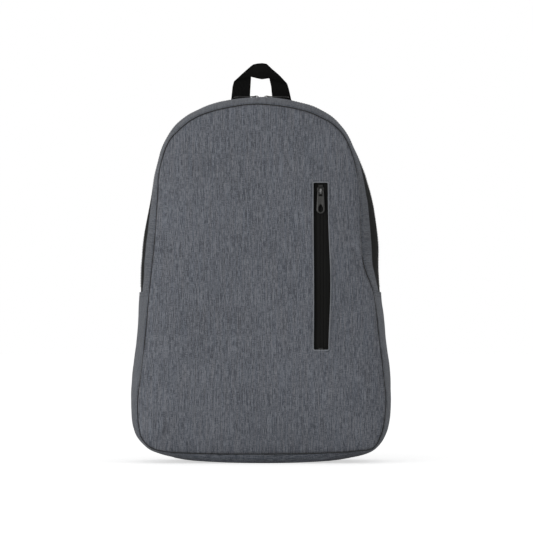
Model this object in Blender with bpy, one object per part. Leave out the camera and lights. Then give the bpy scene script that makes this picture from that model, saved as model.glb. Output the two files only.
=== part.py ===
"""A daypack: fabric shell in panels and gussets, two zips with sliders, a haul loop and two shoulder straps.

Frame: origin at the centre of the flat base, +Z up, -Y the front, +X the wearer's-view right, metres.
"""

import math

import bmesh
import bpy
import numpy as np
from mathutils import Matrix, Vector

# Bag shell
BODY_WIDTH = 0.300
BODY_HEIGHT = 0.420
ARCH_HALF_ANGLE = math.radians(45)
BASE_FLAT_HALF_WIDTH = 0.075
JOIN_HEIGHT = 0.195
FRONT_SEAM_Y_LOW = -0.056
FRONT_SEAM_Y_TOP = -0.030
BACK_SEAM_Y = 0.055
FRONT_CROWN = 0.015
CROWN_POWER = 6
SIDE_POWER = 1.4
FABRIC = 0.0016
GAP = 0.0003

# Stations up the right edge: share of half width, share of height, front inset,
# where the crest starts and ends as shares of the depth, back inset
STATIONS = (
    (0.647, 0.008, 0.0090, 0.12, 0.90, 0.008),
    (0.800, 0.021, 0.0070, 0.16, 0.86, 0.008),
    (0.893, 0.039, 0.0055, 0.20, 0.82, 0.008),
    (0.957, 0.074, 0.0055, 0.26, 0.76, 0.009),
    (0.987, 0.131, 0.0065, 0.34, 0.70, 0.010),
    (0.998, 0.202, 0.0068, 0.42, 0.66, 0.012),
    (0.970, 0.310, 0.0080, 0.50, 0.63, 0.013),
    (0.930, 0.464, 0.0105, 0.56, 0.62, 0.014),
    (0.917, 0.595, 0.0130, 0.58, 0.62, 0.014),
    (0.857, 0.721, 0.0140, 0.56, 0.64, 0.014),
    (0.787, 0.819, 0.0115, 0.44, 0.68, 0.013),
)
BASE_SHAPE = (0.0105, 0.10, 0.92, 0.008)
ARCH_SHAPE = (0.0080, 0.33, 0.73, 0.012)

# Main zip
MAIN_ZIP_DEPTH_SHARE = 0.52
MAIN_TAPE_HALF_WIDTH = 0.013
TAPE = 0.0009
COIL_HALF_WIDTH = 0.0016
COIL_HEIGHT = 0.0012
COIL_END_MARGIN = 0.009
MAIN_SLIDER_REST_ANGLE = math.radians(2.4)

# Seam bindings inside the shell
BINDING_WIDTH = 0.008
BINDING = 0.0008
BINDING_SETBACK = 0.0007
CROSS_TAPE_HALF_WIDTH = 0.006

# Pocket zip and pouch
WINDOW_FROM_SIDE = 0.0909
WINDOW_WIDTH = 0.0170
WINDOW_BELOW_TOP = 0.0995
WINDOW_LENGTH = 0.1909
WELT_WIDTH = 0.0030
WELT = 0.0006
TAPE_MARGIN = 0.0045
SLIDER_FROM_WINDOW_TOP = 0.0100
STOP_HALF_WIDTH = 0.0025
STOP_LENGTH = 0.0020
STOP_HEIGHT = 0.0012
POUCH_FROM_LEFT_SIDE = 0.088
POUCH_FROM_RIGHT_SIDE = 0.062
POUCH_BELOW_WINDOW = 0.0396
POUCH_ABOVE_WINDOW = 0.0135
POUCH_ROOM = 0.016
LINING = 0.0008
FACET_ALLOWANCE = 0.0004

# Zip slider and pull
SLIDER_HALF_WIDTH = 0.0042
SLIDER_HALF_LENGTH = 0.0047
SLIDER_PLATE = 0.0016
BRIDGE_HALF_WIDTH = 0.0012
BRIDGE_HALF_LENGTH = 0.0037
BRIDGE_POST = 0.0011
BRIDGE_ROOM = 0.0018
BRIDGE_TOP = 0.0010
PULL_THICKNESS = 0.0009
PULL_HALF_WIDTH = 0.0043
PULL_ARM_WIDTH = 0.0026
PULL_LENGTH = 0.0260
PULL_HOLE_LENGTH = 0.0055
PULL_TIP_SLOT = 0.0050

# Back panel and pad
BACK_PANEL = 0.0020
PAD = 0.0080
PAD_SHARE = 0.86

# Haul loop
WEBBING = 0.0014
LOOP_OUTER_HALF_WIDTH = 0.0354
LOOP_LEG_WIDTH = 0.0222
LOOP_BAND = 0.0198
LOOP_AXIS_BELOW_TOP = 0.013
LOOP_RISE = 0.0528
LOOP_SHOULDER_RISE = 0.029
LOOP_TOP_HALF_WIDTH = 0.0060
LOOP_END_LENGTH = 0.016
LOOP_END_GAP = 0.0009
LOOP_END_SETBACK = 0.0005

# Yoke and shoulder straps
YOKE_HALF_WIDTH = 0.078
YOKE_BELOW_TOP = 0.052
YOKE_HEIGHT = 0.016
YOKE = 0.0040
STRAP_MESH = 0.0015
STRAP_FOAM = 0.0080
STRAP_SHELL = 0.0015
STRAP_WIDTH = 0.058
STRAP_END_WIDTH = 0.042
STRAP_TOP_X = 0.048
STRAP_SEWN_LENGTH = 0.006
STRAP_BOW = 0.043

# Lower strap hardware
ADJUSTER_WIDTH = 0.020
ADJUSTER = 0.0012
TAB_FROM_SIDE = 0.038
TAB_HEIGHT = 0.045
TAB_HALF_LENGTH = 0.020
TAB_WIDTH = 0.028
ADJUSTER_SEWN_LENGTH = 0.016
ADJUSTER_RUN = 0.088
ADJUSTER_TAIL = 0.070
ADJUSTER_LEAN = math.radians(14)
ADJUSTER_INWARD = math.radians(14.5)
LOCK_BAR = 0.0030
LOCK_SLOT = 0.0070
LOCK_RAIL = 0.0030
LOCK_SIDE_PLAY = 0.0010
LOCK_LOOP_LENGTH = 0.017

HALF_WIDTH = BODY_WIDTH / 2
ARCH_RADIUS = HALF_WIDTH
ARCH_CENTRE_HEIGHT = BODY_HEIGHT - ARCH_RADIUS
ARCH_START_HEIGHT = ARCH_CENTRE_HEIGHT + ARCH_RADIUS * math.cos(ARCH_HALF_ANGLE)
PANEL_CENTRE = np.array((0.0, 0.476 * BODY_HEIGHT))
BACK_FACE_Y = BACK_SEAM_Y + GAP + BACK_PANEL
WINDOW_LEFT = HALF_WIDTH - WINDOW_FROM_SIDE
WINDOW_TOP = BODY_HEIGHT - WINDOW_BELOW_TOP
WINDOW_BOTTOM = WINDOW_TOP - WINDOW_LENGTH
POUCH_LEFT = POUCH_FROM_LEFT_SIDE - HALF_WIDTH
POUCH_RIGHT = HALF_WIDTH - POUCH_FROM_RIGHT_SIDE
POUCH_BOTTOM = WINDOW_BOTTOM - POUCH_BELOW_WINDOW
POUCH_TOP = WINDOW_TOP + POUCH_ABOVE_WINDOW
LOOP_AXIS_HEIGHT = BODY_HEIGHT - LOOP_AXIS_BELOW_TOP
LOOP_SHOULDER_HEIGHT = LOOP_AXIS_HEIGHT + LOOP_SHOULDER_RISE
LOOP_TOP_HEIGHT = LOOP_AXIS_HEIGHT + LOOP_RISE
YOKE_TOP = BODY_HEIGHT - YOKE_BELOW_TOP
TAB_X = HALF_WIDTH - TAB_FROM_SIDE


def clear_scene():
    for old in list(bpy.data.objects):
        bpy.data.objects.remove(old, do_unlink=True)


def make_material(name, colour, roughness, metallic=0.0):
    made = bpy.data.materials.new(name)
    made.use_nodes = True
    shader = made.node_tree.nodes["Principled BSDF"]
    shader.inputs["Base Color"].default_value = (*colour, 1.0)
    shader.inputs["Roughness"].default_value = roughness
    shader.inputs["Metallic"].default_value = metallic
    return made


def add_object(name, builder, finish, pivot=(0.0, 0.0, 0.0)):
    """Makes an object from a bmesh, with its origin at the pivot."""
    bmesh.ops.recalc_face_normals(builder, faces=builder.faces)
    bmesh.ops.translate(builder, verts=builder.verts, vec=-Vector(pivot))
    mesh = bpy.data.meshes.new(name)
    builder.to_mesh(mesh)
    builder.free()
    mesh.materials.append(finish)
    mesh.shade_smooth()
    mesh.set_sharp_from_angle(angle=math.radians(35))
    made = bpy.data.objects.new(name, mesh)
    made.location = pivot
    bpy.context.collection.objects.link(made)
    return made


# The outline of the bag: half of it as arrays against the distance from the base centre


def hermite(start, end, start_slope, end_slope, share):
    square = share * share
    cube = square * share
    return (
        (2 * cube - 3 * square + 1) * start
        + (cube - 2 * square + share) * start_slope
        + (3 * square - 2 * cube) * end
        + (cube - square) * end_slope
    )


def smooth_curve(knots, first_slope, last_slope, steps):
    """Points on a smooth curve through the knots; the end slopes are unit directions in the first columns."""
    knots = np.array(knots, float)
    spans = np.linalg.norm(np.diff(knots[:, : len(first_slope)], axis=0), axis=1)
    slopes = np.zeros_like(knots)
    for k in range(1, len(knots) - 1):
        slopes[k] = (knots[k + 1] - knots[k - 1]) / (spans[k] + spans[k - 1])
    slopes[0, : len(first_slope)] = first_slope
    slopes[-1, : len(last_slope)] = last_slope
    made = []
    for k, span in enumerate(spans):
        for step in range(steps):
            made.append(
                hermite(knots[k], knots[k + 1], slopes[k] * span, slopes[k + 1] * span, step / steps)
            )
    made.append(knots[-1])
    return np.array(made)


def half_outline():
    """Rows of x, z, front inset, crest start, crest end and back inset, from base centre to top centre."""
    flat = [(x, 0.0, *BASE_SHAPE) for x in np.linspace(0, BASE_FLAT_HALF_WIDTH, 9)]
    side = [(x * HALF_WIDTH, z * BODY_HEIGHT, *shape) for x, z, *shape in STATIONS]
    arch = []
    for angle in np.linspace(ARCH_HALF_ANGLE, 0, 46):
        x = ARCH_RADIUS * math.sin(angle)
        z = ARCH_CENTRE_HEIGHT + ARCH_RADIUS * math.cos(angle)
        arch.append((x, z, *ARCH_SHAPE))
    leaving = (-math.cos(ARCH_HALF_ANGLE), math.sin(ARCH_HALF_ANGLE))
    middle = smooth_curve([flat[-1], *side, arch[0]], (1.0, 0.0), leaving, 12)
    return np.vstack((flat[:-1], middle, arch[1:]))


OUTLINE = half_outline()
ALONG = np.concatenate(
    ([0.0], np.cumsum(np.linalg.norm(np.diff(OUTLINE[:, :2], axis=0), axis=1)))
)
HALF_LENGTH = ALONG[-1]
FLAT_END = BASE_FLAT_HALF_WIDTH
JOIN = float(np.interp(JOIN_HEIGHT, OUTLINE[:, 1], ALONG))
ARCH_START = HALF_LENGTH - ARCH_RADIUS * ARCH_HALF_ANGLE


def outline_tangent():
    run = np.gradient(OUTLINE[:, :2], ALONG, axis=0)
    run /= np.linalg.norm(run, axis=1)[:, None]
    run[OUTLINE[:, 1] == 0.0] = (1.0, 0.0)
    run[-1] = (-1.0, 0.0)
    return run


TANGENT = outline_tangent()


def outline_at(along):
    """x, z, outward normal and cross shape at a distance round the outline from the base centre."""
    along %= 2 * HALF_LENGTH
    left = along > HALF_LENGTH
    if left:
        along = 2 * HALF_LENGTH - along
    x, z, front, crest_from, crest_to, back = (
        float(np.interp(along, ALONG, OUTLINE[:, k])) for k in range(6)
    )
    run_x, run_z = (float(np.interp(along, ALONG, TANGENT[:, k])) for k in range(2))
    size = math.hypot(run_x, run_z)
    side = -1.0 if left else 1.0
    return side * x, z, side * run_z / size, -run_x / size, front, crest_from, crest_to, back


def front_seam_y(height):
    share = min(max(height, 0.0) / ARCH_START_HEIGHT, 1.0)
    return FRONT_SEAM_Y_LOW + (FRONT_SEAM_Y_TOP - FRONT_SEAM_Y_LOW) * share


def depth_at(along):
    return BACK_SEAM_Y - front_seam_y(outline_at(along)[1])


def skin_point(along, share, sink):
    """A point on the side of the bag, share of the way from front to back seam, sunk below the surface."""
    x, z, out_x, out_z, front, crest_from, crest_to, back = outline_at(along)
    inset = 0.0
    slope = 0.0
    if share < crest_from:
        left_over = (crest_from - share) / crest_from
        inset = front * left_over**SIDE_POWER
        slope = -front * SIDE_POWER / crest_from * left_over ** (SIDE_POWER - 1)
    if share > crest_to:
        passed = (share - crest_to) / (1 - crest_to)
        inset = back * passed**SIDE_POWER
        slope = back * SIDE_POWER / (1 - crest_to) * passed ** (SIDE_POWER - 1)
    seam_y = front_seam_y(z)
    depth = BACK_SEAM_Y - seam_y
    normal = Vector((depth * out_x, slope, depth * out_z)).normalized()
    surface = Vector((x - inset * out_x, seam_y + share * depth, z - inset * out_z))
    return surface - sink * normal


def lower_columns(trim):
    side = np.linspace(FLAT_END, JOIN - trim, 11)
    base = np.linspace(-FLAT_END, FLAT_END, 5)
    return [*(-side[:0:-1]), *base, *side[1:]]


def upper_columns(trim):
    side = np.linspace(JOIN + trim, ARCH_START, 8)
    arch = np.linspace(ARCH_START, 2 * HALF_LENGTH - ARCH_START, 17)
    return [*side[:-1], *arch, *(2 * HALF_LENGTH - side[-2::-1])]


def ring_columns():
    return [*lower_columns(0.0), *upper_columns(0.0)[1:-1]]


def grid_solid(outer, inner, ring=False, centres=None):
    """A closed solid between two grids of points; centres closes the last row of a ring with a fan."""
    builder = bmesh.new()
    top = [[builder.verts.new(point) for point in row] for row in outer]
    low = [[builder.verts.new(point) for point in row] for row in inner]
    columns = len(top[0])
    last = columns if ring else columns - 1
    for c in range(last):
        d = (c + 1) % columns
        for above, below in zip(top, top[1:]):
            builder.faces.new((above[c], above[d], below[d], below[c]))
        for above, below in zip(low, low[1:]):
            builder.faces.new((above[c], below[c], below[d], above[d]))
        builder.faces.new((top[0][c], low[0][c], low[0][d], top[0][d]))
        if centres is None:
            builder.faces.new((top[-1][c], top[-1][d], low[-1][d], low[-1][c]))
    if centres is not None:
        for rows, centre in zip((top, low), centres):
            hub = builder.verts.new(centre)
            for c in range(columns):
                builder.faces.new((rows[-1][c], rows[-1][(c + 1) % columns], hub))
    if not ring:
        for end in (0, -1):
            for r in range(len(top) - 1):
                builder.faces.new((top[r][end], top[r + 1][end], low[r + 1][end], low[r][end]))
    return builder


def skin(columns, shares, outer_sink, inner_sink, ring=False):
    """A strip of the bag's side; shares(along) gives its rows at each column."""
    rows = np.array([shares(along) for along in columns]).T
    grids = []
    for sink in (outer_sink, inner_sink):
        grids.append([[skin_point(a, v, sink) for a, v in zip(columns, row)] for row in rows])
    return grid_solid(*grids, ring=ring)


def front_start(along):
    return (FABRIC + GAP) / depth_at(along)


def zip_edge(along, side):
    return MAIN_ZIP_DEPTH_SHARE + side * MAIN_TAPE_HALF_WIDTH / depth_at(along)


def half_gap(along):
    return GAP / 2 / depth_at(along)


# Front panel, welt and pouch


def seam_loop():
    return [skin_point(along, 0.0, 0.0) for along in ring_columns()]


SEAM_LOOP = seam_loop()


def seam_angles():
    flat = np.array([(p.x, p.z) for p in SEAM_LOOP]) - PANEL_CENTRE
    angle = np.unwrap(np.arctan2(flat[:, 1], flat[:, 0]))
    order = np.argsort(angle)
    return angle[order], np.linalg.norm(flat, axis=1)[order]


SEAM_ANGLE, SEAM_RADIUS = seam_angles()


def crown_at(share):
    return FRONT_CROWN * (1 - share**CROWN_POWER)


def front_y(x, z):
    """Outer surface of the front panel at a place in the front view."""
    away = np.array((x, z)) - PANEL_CENTRE
    angle = math.atan2(away[1], away[0])
    radius = np.interp(angle, SEAM_ANGLE, SEAM_RADIUS, period=2 * math.pi)
    share = min(float(np.linalg.norm(away)) / float(radius), 1.0)
    return front_seam_y(z) - crown_at(share)


def panel_rings(shift):
    rings = []
    for share in (1.0, 0.97, 0.92, 0.85, 0.76, 0.65, 0.52, 0.38, 0.22):
        ring = []
        for rim in SEAM_LOOP:
            x = PANEL_CENTRE[0] + share * (rim.x - PANEL_CENTRE[0])
            z = PANEL_CENTRE[1] + share * (rim.z - PANEL_CENTRE[1])
            ring.append((x, front_seam_y(z) - crown_at(share) + shift, z))
        rings.append(ring)
    return rings


def panel_centre(shift):
    x, z = PANEL_CENTRE
    return (x, front_seam_y(z) - FRONT_CROWN + shift, z)


def front_block(left, right, bottom, top, near, far, columns, rows):
    """A solid that follows the front panel, between two distances behind its outer surface."""
    xs = np.linspace(left, right, columns)
    zs = np.linspace(bottom, top, rows)
    grids = [[[(x, front_y(x, z) + shift, z) for x in xs] for z in zs] for shift in (near, far)]
    return grid_solid(*grids)


def box_solid(low, high):
    builder = bmesh.new()
    bmesh.ops.create_cube(builder, size=1.0)
    size = Vector(high) - Vector(low)
    bmesh.ops.scale(builder, verts=builder.verts, vec=size)
    bmesh.ops.translate(builder, verts=builder.verts, vec=(Vector(high) + Vector(low)) / 2)
    return builder


def cut(target, cutter_name, builder, finish):
    cutter = add_object(cutter_name, builder, finish)
    cutter.hide_render = True
    cutter.display_type = "WIRE"
    boolean = target.modifiers.new(cutter_name, "BOOLEAN")
    boolean.operation = "DIFFERENCE"
    boolean.solver = "EXACT"
    boolean.object = cutter


def window_box(side_margin, end_margin):
    low = (WINDOW_LEFT - side_margin, -0.2, WINDOW_BOTTOM - end_margin)
    high = (WINDOW_LEFT + WINDOW_WIDTH + side_margin, 0.0, WINDOW_TOP + end_margin)
    return low, high


def add_front(fabric, trim, lining):
    panel = add_object(
        "front_panel",
        grid_solid(
            panel_rings(0.0),
            panel_rings(FABRIC),
            ring=True,
            centres=(panel_centre(0.0), panel_centre(FABRIC)),
        ),
        fabric,
    )
    cut(panel, "window_cutter", box_solid(*window_box(0.0, 0.0)), fabric)
    welt = add_object(
        "pocket_welt",
        front_block(
            WINDOW_LEFT - WELT_WIDTH,
            WINDOW_LEFT + WINDOW_WIDTH + WELT_WIDTH,
            WINDOW_BOTTOM - WELT_WIDTH,
            WINDOW_TOP + WELT_WIDTH,
            -GAP - WELT,
            -GAP,
            4,
            12,
        ),
        trim,
    )
    cut(welt, "welt_cutter", box_solid(*window_box(0.0, 0.0)), trim)
    near = FABRIC + GAP + FACET_ALLOWANCE
    pouch = add_object(
        "pocket_pouch",
        front_block(
            POUCH_LEFT,
            POUCH_RIGHT,
            POUCH_BOTTOM,
            POUCH_TOP,
            near,
            near + POUCH_ROOM + 2 * LINING,
            9,
            12,
        ),
        lining,
    )
    room = front_block(
        POUCH_LEFT + LINING,
        POUCH_RIGHT - LINING,
        POUCH_BOTTOM + LINING,
        POUCH_TOP - LINING,
        near + LINING,
        near + LINING + POUCH_ROOM,
        9,
        12,
    )
    cut(pouch, "pouch_room", room, lining)
    low, high = window_box(TAPE_MARGIN + GAP, TAPE_MARGIN + GAP)
    middle_x = WINDOW_LEFT + WINDOW_WIDTH / 2
    reach = near + LINING + POUCH_ROOM / 2
    slot = front_block(low[0], high[0], low[2], high[2], -FABRIC, reach, 3, 12)
    cut(pouch, "pouch_slot", slot, lining)
    return middle_x


def cells_solid(xs, ds, ns, filled, place):
    """A solid of box cells; place turns cell coordinates (across, along, out) into the bag's frame."""
    builder = bmesh.new()
    known = {}

    def corner(i, j, k):
        if (i, j, k) not in known:
            known[i, j, k] = builder.verts.new(place @ Vector((xs[i], ds[j], ns[k])))
        return known[i, j, k]

    def solid(i, j, k):
        inside = 0 <= i < len(xs) - 1 and 0 <= j < len(ds) - 1 and 0 <= k < len(ns) - 1
        return inside and filled(i, j, k)

    sides = (
        ((-1, 0, 0), ((0, 0, 0), (0, 0, 1), (0, 1, 1), (0, 1, 0))),
        ((1, 0, 0), ((1, 0, 0), (1, 1, 0), (1, 1, 1), (1, 0, 1))),
        ((0, -1, 0), ((0, 0, 0), (1, 0, 0), (1, 0, 1), (0, 0, 1))),
        ((0, 1, 0), ((0, 1, 0), (0, 1, 1), (1, 1, 1), (1, 1, 0))),
        ((0, 0, -1), ((0, 0, 0), (0, 1, 0), (1, 1, 0), (1, 0, 0))),
        ((0, 0, 1), ((0, 0, 1), (1, 0, 1), (1, 1, 1), (0, 1, 1))),
    )
    for i in range(len(xs) - 1):
        for j in range(len(ds) - 1):
            for k in range(len(ns) - 1):
                if not solid(i, j, k):
                    continue
                for (di, dj, dk), corners in sides:
                    if not solid(i + di, j + dj, k + dk):
                        builder.faces.new([corner(i + a, j + b, k + c) for a, b, c in corners])
    return builder


def placed_frame(origin, along, out):
    """Cell frame: x across, y along the zip or webbing, z out of the surface."""
    along = Vector(along).normalized()
    out = Vector(out)
    out = (out - along * out.dot(along)).normalized()
    across = along.cross(out)
    turn = Matrix((across, along, out)).transposed().to_4x4()
    return Matrix.Translation(Vector(origin)) @ turn


# Zips

SLIDER_TOP = GAP + SLIDER_PLATE
BAR_OUT = SLIDER_TOP + BRIDGE_ROOM / 2


def slider_solid(place):
    across = (-SLIDER_HALF_WIDTH, -BRIDGE_HALF_WIDTH, BRIDGE_HALF_WIDTH, SLIDER_HALF_WIDTH)
    inner = BRIDGE_HALF_LENGTH - BRIDGE_POST
    along = (
        -SLIDER_HALF_LENGTH,
        -BRIDGE_HALF_LENGTH,
        -inner,
        inner,
        BRIDGE_HALF_LENGTH,
        SLIDER_HALF_LENGTH,
    )
    bridge_low = SLIDER_TOP + BRIDGE_ROOM
    out = (GAP, SLIDER_TOP, bridge_low, bridge_low + BRIDGE_TOP)
    posts = {(1, 1, 1), (1, 3, 1)}
    bridge = {(1, 1, 2), (1, 2, 2), (1, 3, 2)}
    return cells_solid(across, along, out, lambda i, j, k: k == 0 or (i, j, k) in posts | bridge, place)


def pull_solid(place):
    inner = PULL_HALF_WIDTH - PULL_ARM_WIDTH
    across = (-PULL_HALF_WIDTH, -inner, inner, PULL_HALF_WIDTH)
    bar = PULL_THICKNESS / 2
    tip_from = PULL_LENGTH - PULL_ARM_WIDTH - PULL_TIP_SLOT
    along = (-bar, bar, PULL_HOLE_LENGTH, tip_from, tip_from + PULL_TIP_SLOT, PULL_LENGTH)
    out = (BAR_OUT - bar, BAR_OUT + bar)
    return cells_solid(across, along, out, lambda i, j, k: i != 1 or j not in (1, 3), place)


def add_slider(prefix, suffix, place, metal, dark_metal, slider_pivot):
    add_object(f"{prefix}_slider{suffix}", slider_solid(place), metal, slider_pivot)
    axis = place @ Vector((0.0, 0.0, BAR_OUT))
    add_object(f"{prefix}_pull{suffix}", pull_solid(place), dark_metal, axis)


def add_pocket_zip(middle_x, tape, coil, metal, dark_metal):
    top = Vector((middle_x, front_y(middle_x, WINDOW_TOP) + FABRIC, WINDOW_TOP))
    bottom = Vector((middle_x, front_y(middle_x, WINDOW_BOTTOM) + FABRIC, WINDOW_BOTTOM))
    down = (bottom - top).normalized()
    flat = placed_frame(top, down, (0.0, -1.0, 0.0))
    half_width = WINDOW_WIDTH / 2 + TAPE_MARGIN
    length = (bottom - top).length
    back = flat.inverted()
    set_back = 0.0
    for x in np.linspace(middle_x - half_width, middle_x + half_width, 7):
        for z in np.linspace(WINDOW_BOTTOM - TAPE_MARGIN, WINDOW_TOP + TAPE_MARGIN, 15):
            inner = back @ Vector((x, front_y(x, z) + FABRIC, z))
            set_back = max(set_back, -inner.z)
    face = flat @ Matrix.Translation((0.0, 0.0, -set_back - GAP - FACET_ALLOWANCE))
    ends = (-TAPE_MARGIN, length + TAPE_MARGIN)
    # Across runs towards -X in this frame
    for name, low, high in (
        ("pocket_zip_tape_left", GAP / 2, half_width),
        ("pocket_zip_tape_right", -half_width, -GAP / 2),
    ):
        add_object(name, cells_solid((low, high), ends, (-TAPE, 0.0), lambda i, j, k: True, face), tape)
    coil_out = (-TAPE - GAP - COIL_HEIGHT, -TAPE - GAP)
    coil_cells = ((-COIL_HALF_WIDTH, COIL_HALF_WIDTH), ends, coil_out)
    add_object("pocket_zip_coil", cells_solid(*coil_cells, lambda i, j, k: True, face), coil)
    slider_at = SLIDER_FROM_WINDOW_TOP
    clear = SLIDER_HALF_LENGTH + 2 * GAP
    for name, start in (
        ("pocket_zip_top_stop", slider_at - clear - STOP_LENGTH),
        ("pocket_zip_bottom_stop", length - GAP - STOP_LENGTH),
    ):
        stop = (
            (-STOP_HALF_WIDTH, STOP_HALF_WIDTH),
            (start, start + STOP_LENGTH),
            (GAP, GAP + STOP_HEIGHT),
        )
        add_object(name, cells_solid(*stop, lambda i, j, k: True, face), metal)
    place = face @ Matrix.Translation((0.0, slider_at, 0.0))
    add_slider("pocket", "", place, metal, dark_metal, place.translation)


def add_main_zip(tape, coil, metal, dark_metal):
    columns = upper_columns(GAP / 2)
    centre = MAIN_ZIP_DEPTH_SHARE
    for name, side in (("main_zip_tape_front", -1), ("main_zip_tape_back", 1)):
        def rows(along, side=side):
            edges = (zip_edge(along, side) - side * half_gap(along), centre + side * half_gap(along))
            return np.linspace(*sorted(edges), 3)

        add_object(name, skin(columns, rows, 0.0, TAPE), tape)

    def coil_rows(along):
        half = COIL_HALF_WIDTH / depth_at(along)
        return (centre - half, centre + half)

    coil_columns = upper_columns(COIL_END_MARGIN)
    sinks = (TAPE + GAP, TAPE + GAP + COIL_HEIGHT)
    add_object("main_zip_coil", skin(coil_columns, coil_rows, *sinks), coil)
    zip_y = FRONT_SEAM_Y_TOP + centre * (BACK_SEAM_Y - FRONT_SEAM_Y_TOP)
    pivot = (0.0, zip_y, ARCH_CENTRE_HEIGHT)
    for suffix, side in (("_left", -1), ("_right", 1)):
        angle = MAIN_SLIDER_REST_ANGLE
        out = Vector((side * math.sin(angle), 0.0, math.cos(angle)))
        along = Vector((side * math.cos(angle), 0.0, -math.sin(angle)))
        place = placed_frame(Vector(pivot) + out * ARCH_RADIUS, along, out)
        add_slider("main", suffix, place, metal, dark_metal, pivot)


def add_gussets(fabric, lining):
    def front_rows(along):
        end = zip_edge(along, -1) - half_gap(along)
        return np.linspace(front_start(along), end, 5)

    def back_rows(along):
        start = zip_edge(along, 1) + half_gap(along)
        return np.linspace(start, 1.0, 5)

    def lower_rows(along):
        crest_from, crest_to = outline_at(along)[5:7]
        start = front_start(along)
        before = np.linspace(start, crest_from, 4)
        after = np.linspace(crest_to, 1.0, 4)
        return (*before, (crest_from + crest_to) / 2, *after)

    upper = upper_columns(GAP / 2)
    add_object("upper_gusset_front", skin(upper, front_rows, 0.0, FABRIC), fabric)
    add_object("upper_gusset_back", skin(upper, back_rows, 0.0, FABRIC), fabric)
    add_object("lower_gusset", skin(lower_columns(GAP / 2), lower_rows, 0.0, FABRIC), fabric)

    sinks = (FABRIC + BINDING_SETBACK, FABRIC + BINDING_SETBACK + BINDING)

    def front_binding_rows(along):
        start = front_start(along) + BINDING / depth_at(along)
        return np.linspace(start, start + BINDING_WIDTH / depth_at(along), 3)

    def back_binding_rows(along):
        end = 1.0 - BINDING / depth_at(along)
        return np.linspace(end - BINDING_WIDTH / depth_at(along), end, 3)

    ring = ring_columns()
    add_object("front_seam_binding", skin(ring, front_binding_rows, *sinks, ring=True), lining)
    add_object("back_seam_binding", skin(ring, back_binding_rows, *sinks, ring=True), lining)

    def cross_rows(along):
        clear = (BINDING_WIDTH + BINDING + 2 * GAP) / depth_at(along)
        return np.linspace(front_start(along) + clear, 1.0 - clear, 7)

    for name, middle in (
        ("cross_seam_tape_right", JOIN),
        ("cross_seam_tape_left", 2 * HALF_LENGTH - JOIN),
    ):
        columns = np.linspace(middle - CROSS_TAPE_HALF_WIDTH, middle + CROSS_TAPE_HALF_WIDTH, 3)
        add_object(name, skin(columns, cross_rows, *sinks), lining)


# Back


def back_plate(share, near, far):
    rim = [skin_point(along, 1.0, 0.0) for along in ring_columns()]
    rows = []
    for y in (near, far):
        ring = []
        for point in rim:
            x = share * point.x
            z = PANEL_CENTRE[1] + share * (point.z - PANEL_CENTRE[1])
            ring.append((x, y, z))
        rows.append([ring])
    centres = [(PANEL_CENTRE[0], y, PANEL_CENTRE[1]) for y in (near, far)]
    return grid_solid(*rows, ring=True, centres=centres)


def add_back(mesh_cloth, foam, fabric):
    near = BACK_SEAM_Y + GAP
    add_object("back_panel", back_plate(1.0, near, BACK_FACE_Y), mesh_cloth)
    add_object("back_foam_pad", back_plate(PAD_SHARE, near - GAP - PAD, near - GAP), foam)
    start = BACK_FACE_Y + GAP
    low = (-YOKE_HALF_WIDTH, start, YOKE_TOP - YOKE_HEIGHT)
    high = (YOKE_HALF_WIDTH, start + YOKE, YOKE_TOP)
    add_object("strap_yoke", box_solid(low, high), fabric)


def loop_outline():
    """Right half of the loop, from the outer foot over the top to the inner foot."""
    inner = LOOP_OUTER_HALF_WIDTH - LOOP_LEG_WIDTH
    inner_top = LOOP_TOP_HEIGHT - LOOP_BAND
    return (
        (LOOP_OUTER_HALF_WIDTH, LOOP_AXIS_HEIGHT),
        (LOOP_OUTER_HALF_WIDTH - 0.0020, LOOP_SHOULDER_HEIGHT),
        ((LOOP_OUTER_HALF_WIDTH + LOOP_TOP_HALF_WIDTH) / 2, (LOOP_SHOULDER_HEIGHT + LOOP_TOP_HEIGHT) / 2),
        (LOOP_TOP_HALF_WIDTH, LOOP_TOP_HEIGHT - 0.0015),
        (0.0, LOOP_TOP_HEIGHT),
        (0.0, inner_top),
        (inner - 0.0030, inner_top + 0.0020),
        (inner, LOOP_AXIS_HEIGHT),
    )


def add_haul_loop(webbing):
    right = loop_outline()
    outer = right[:5]
    inner = right[5:]
    points = [*outer, *[(-x, z) for x, z in outer[-2::-1]]]
    points += [*[(-x, z) for x, z in inner[::-1]], *inner[1:]]
    end_y = BACK_FACE_Y + GAP
    axis_y = end_y + WEBBING + LOOP_END_SETBACK
    builder = bmesh.new()
    face = builder.faces.new([builder.verts.new((x, axis_y - WEBBING / 2, z)) for x, z in points])
    grown = bmesh.ops.extrude_face_region(builder, geom=[face])["geom"]
    moved = [item for item in grown if isinstance(item, bmesh.types.BMVert)]
    bmesh.ops.translate(builder, verts=moved, vec=(0.0, WEBBING, 0.0))
    add_object("haul_loop", builder, webbing, (0.0, axis_y, LOOP_AXIS_HEIGHT))
    top = LOOP_AXIS_HEIGHT - LOOP_END_GAP
    for name, side in (("haul_loop_end_left", -1), ("haul_loop_end_right", 1)):
        xs = sorted((side * (LOOP_OUTER_HALF_WIDTH - LOOP_LEG_WIDTH), side * LOOP_OUTER_HALF_WIDTH))
        low = (xs[0], end_y, top - LOOP_END_LENGTH)
        high = (xs[1], end_y + WEBBING, top)
        add_object(name, box_solid(low, high), webbing)


# Shoulder straps


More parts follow.
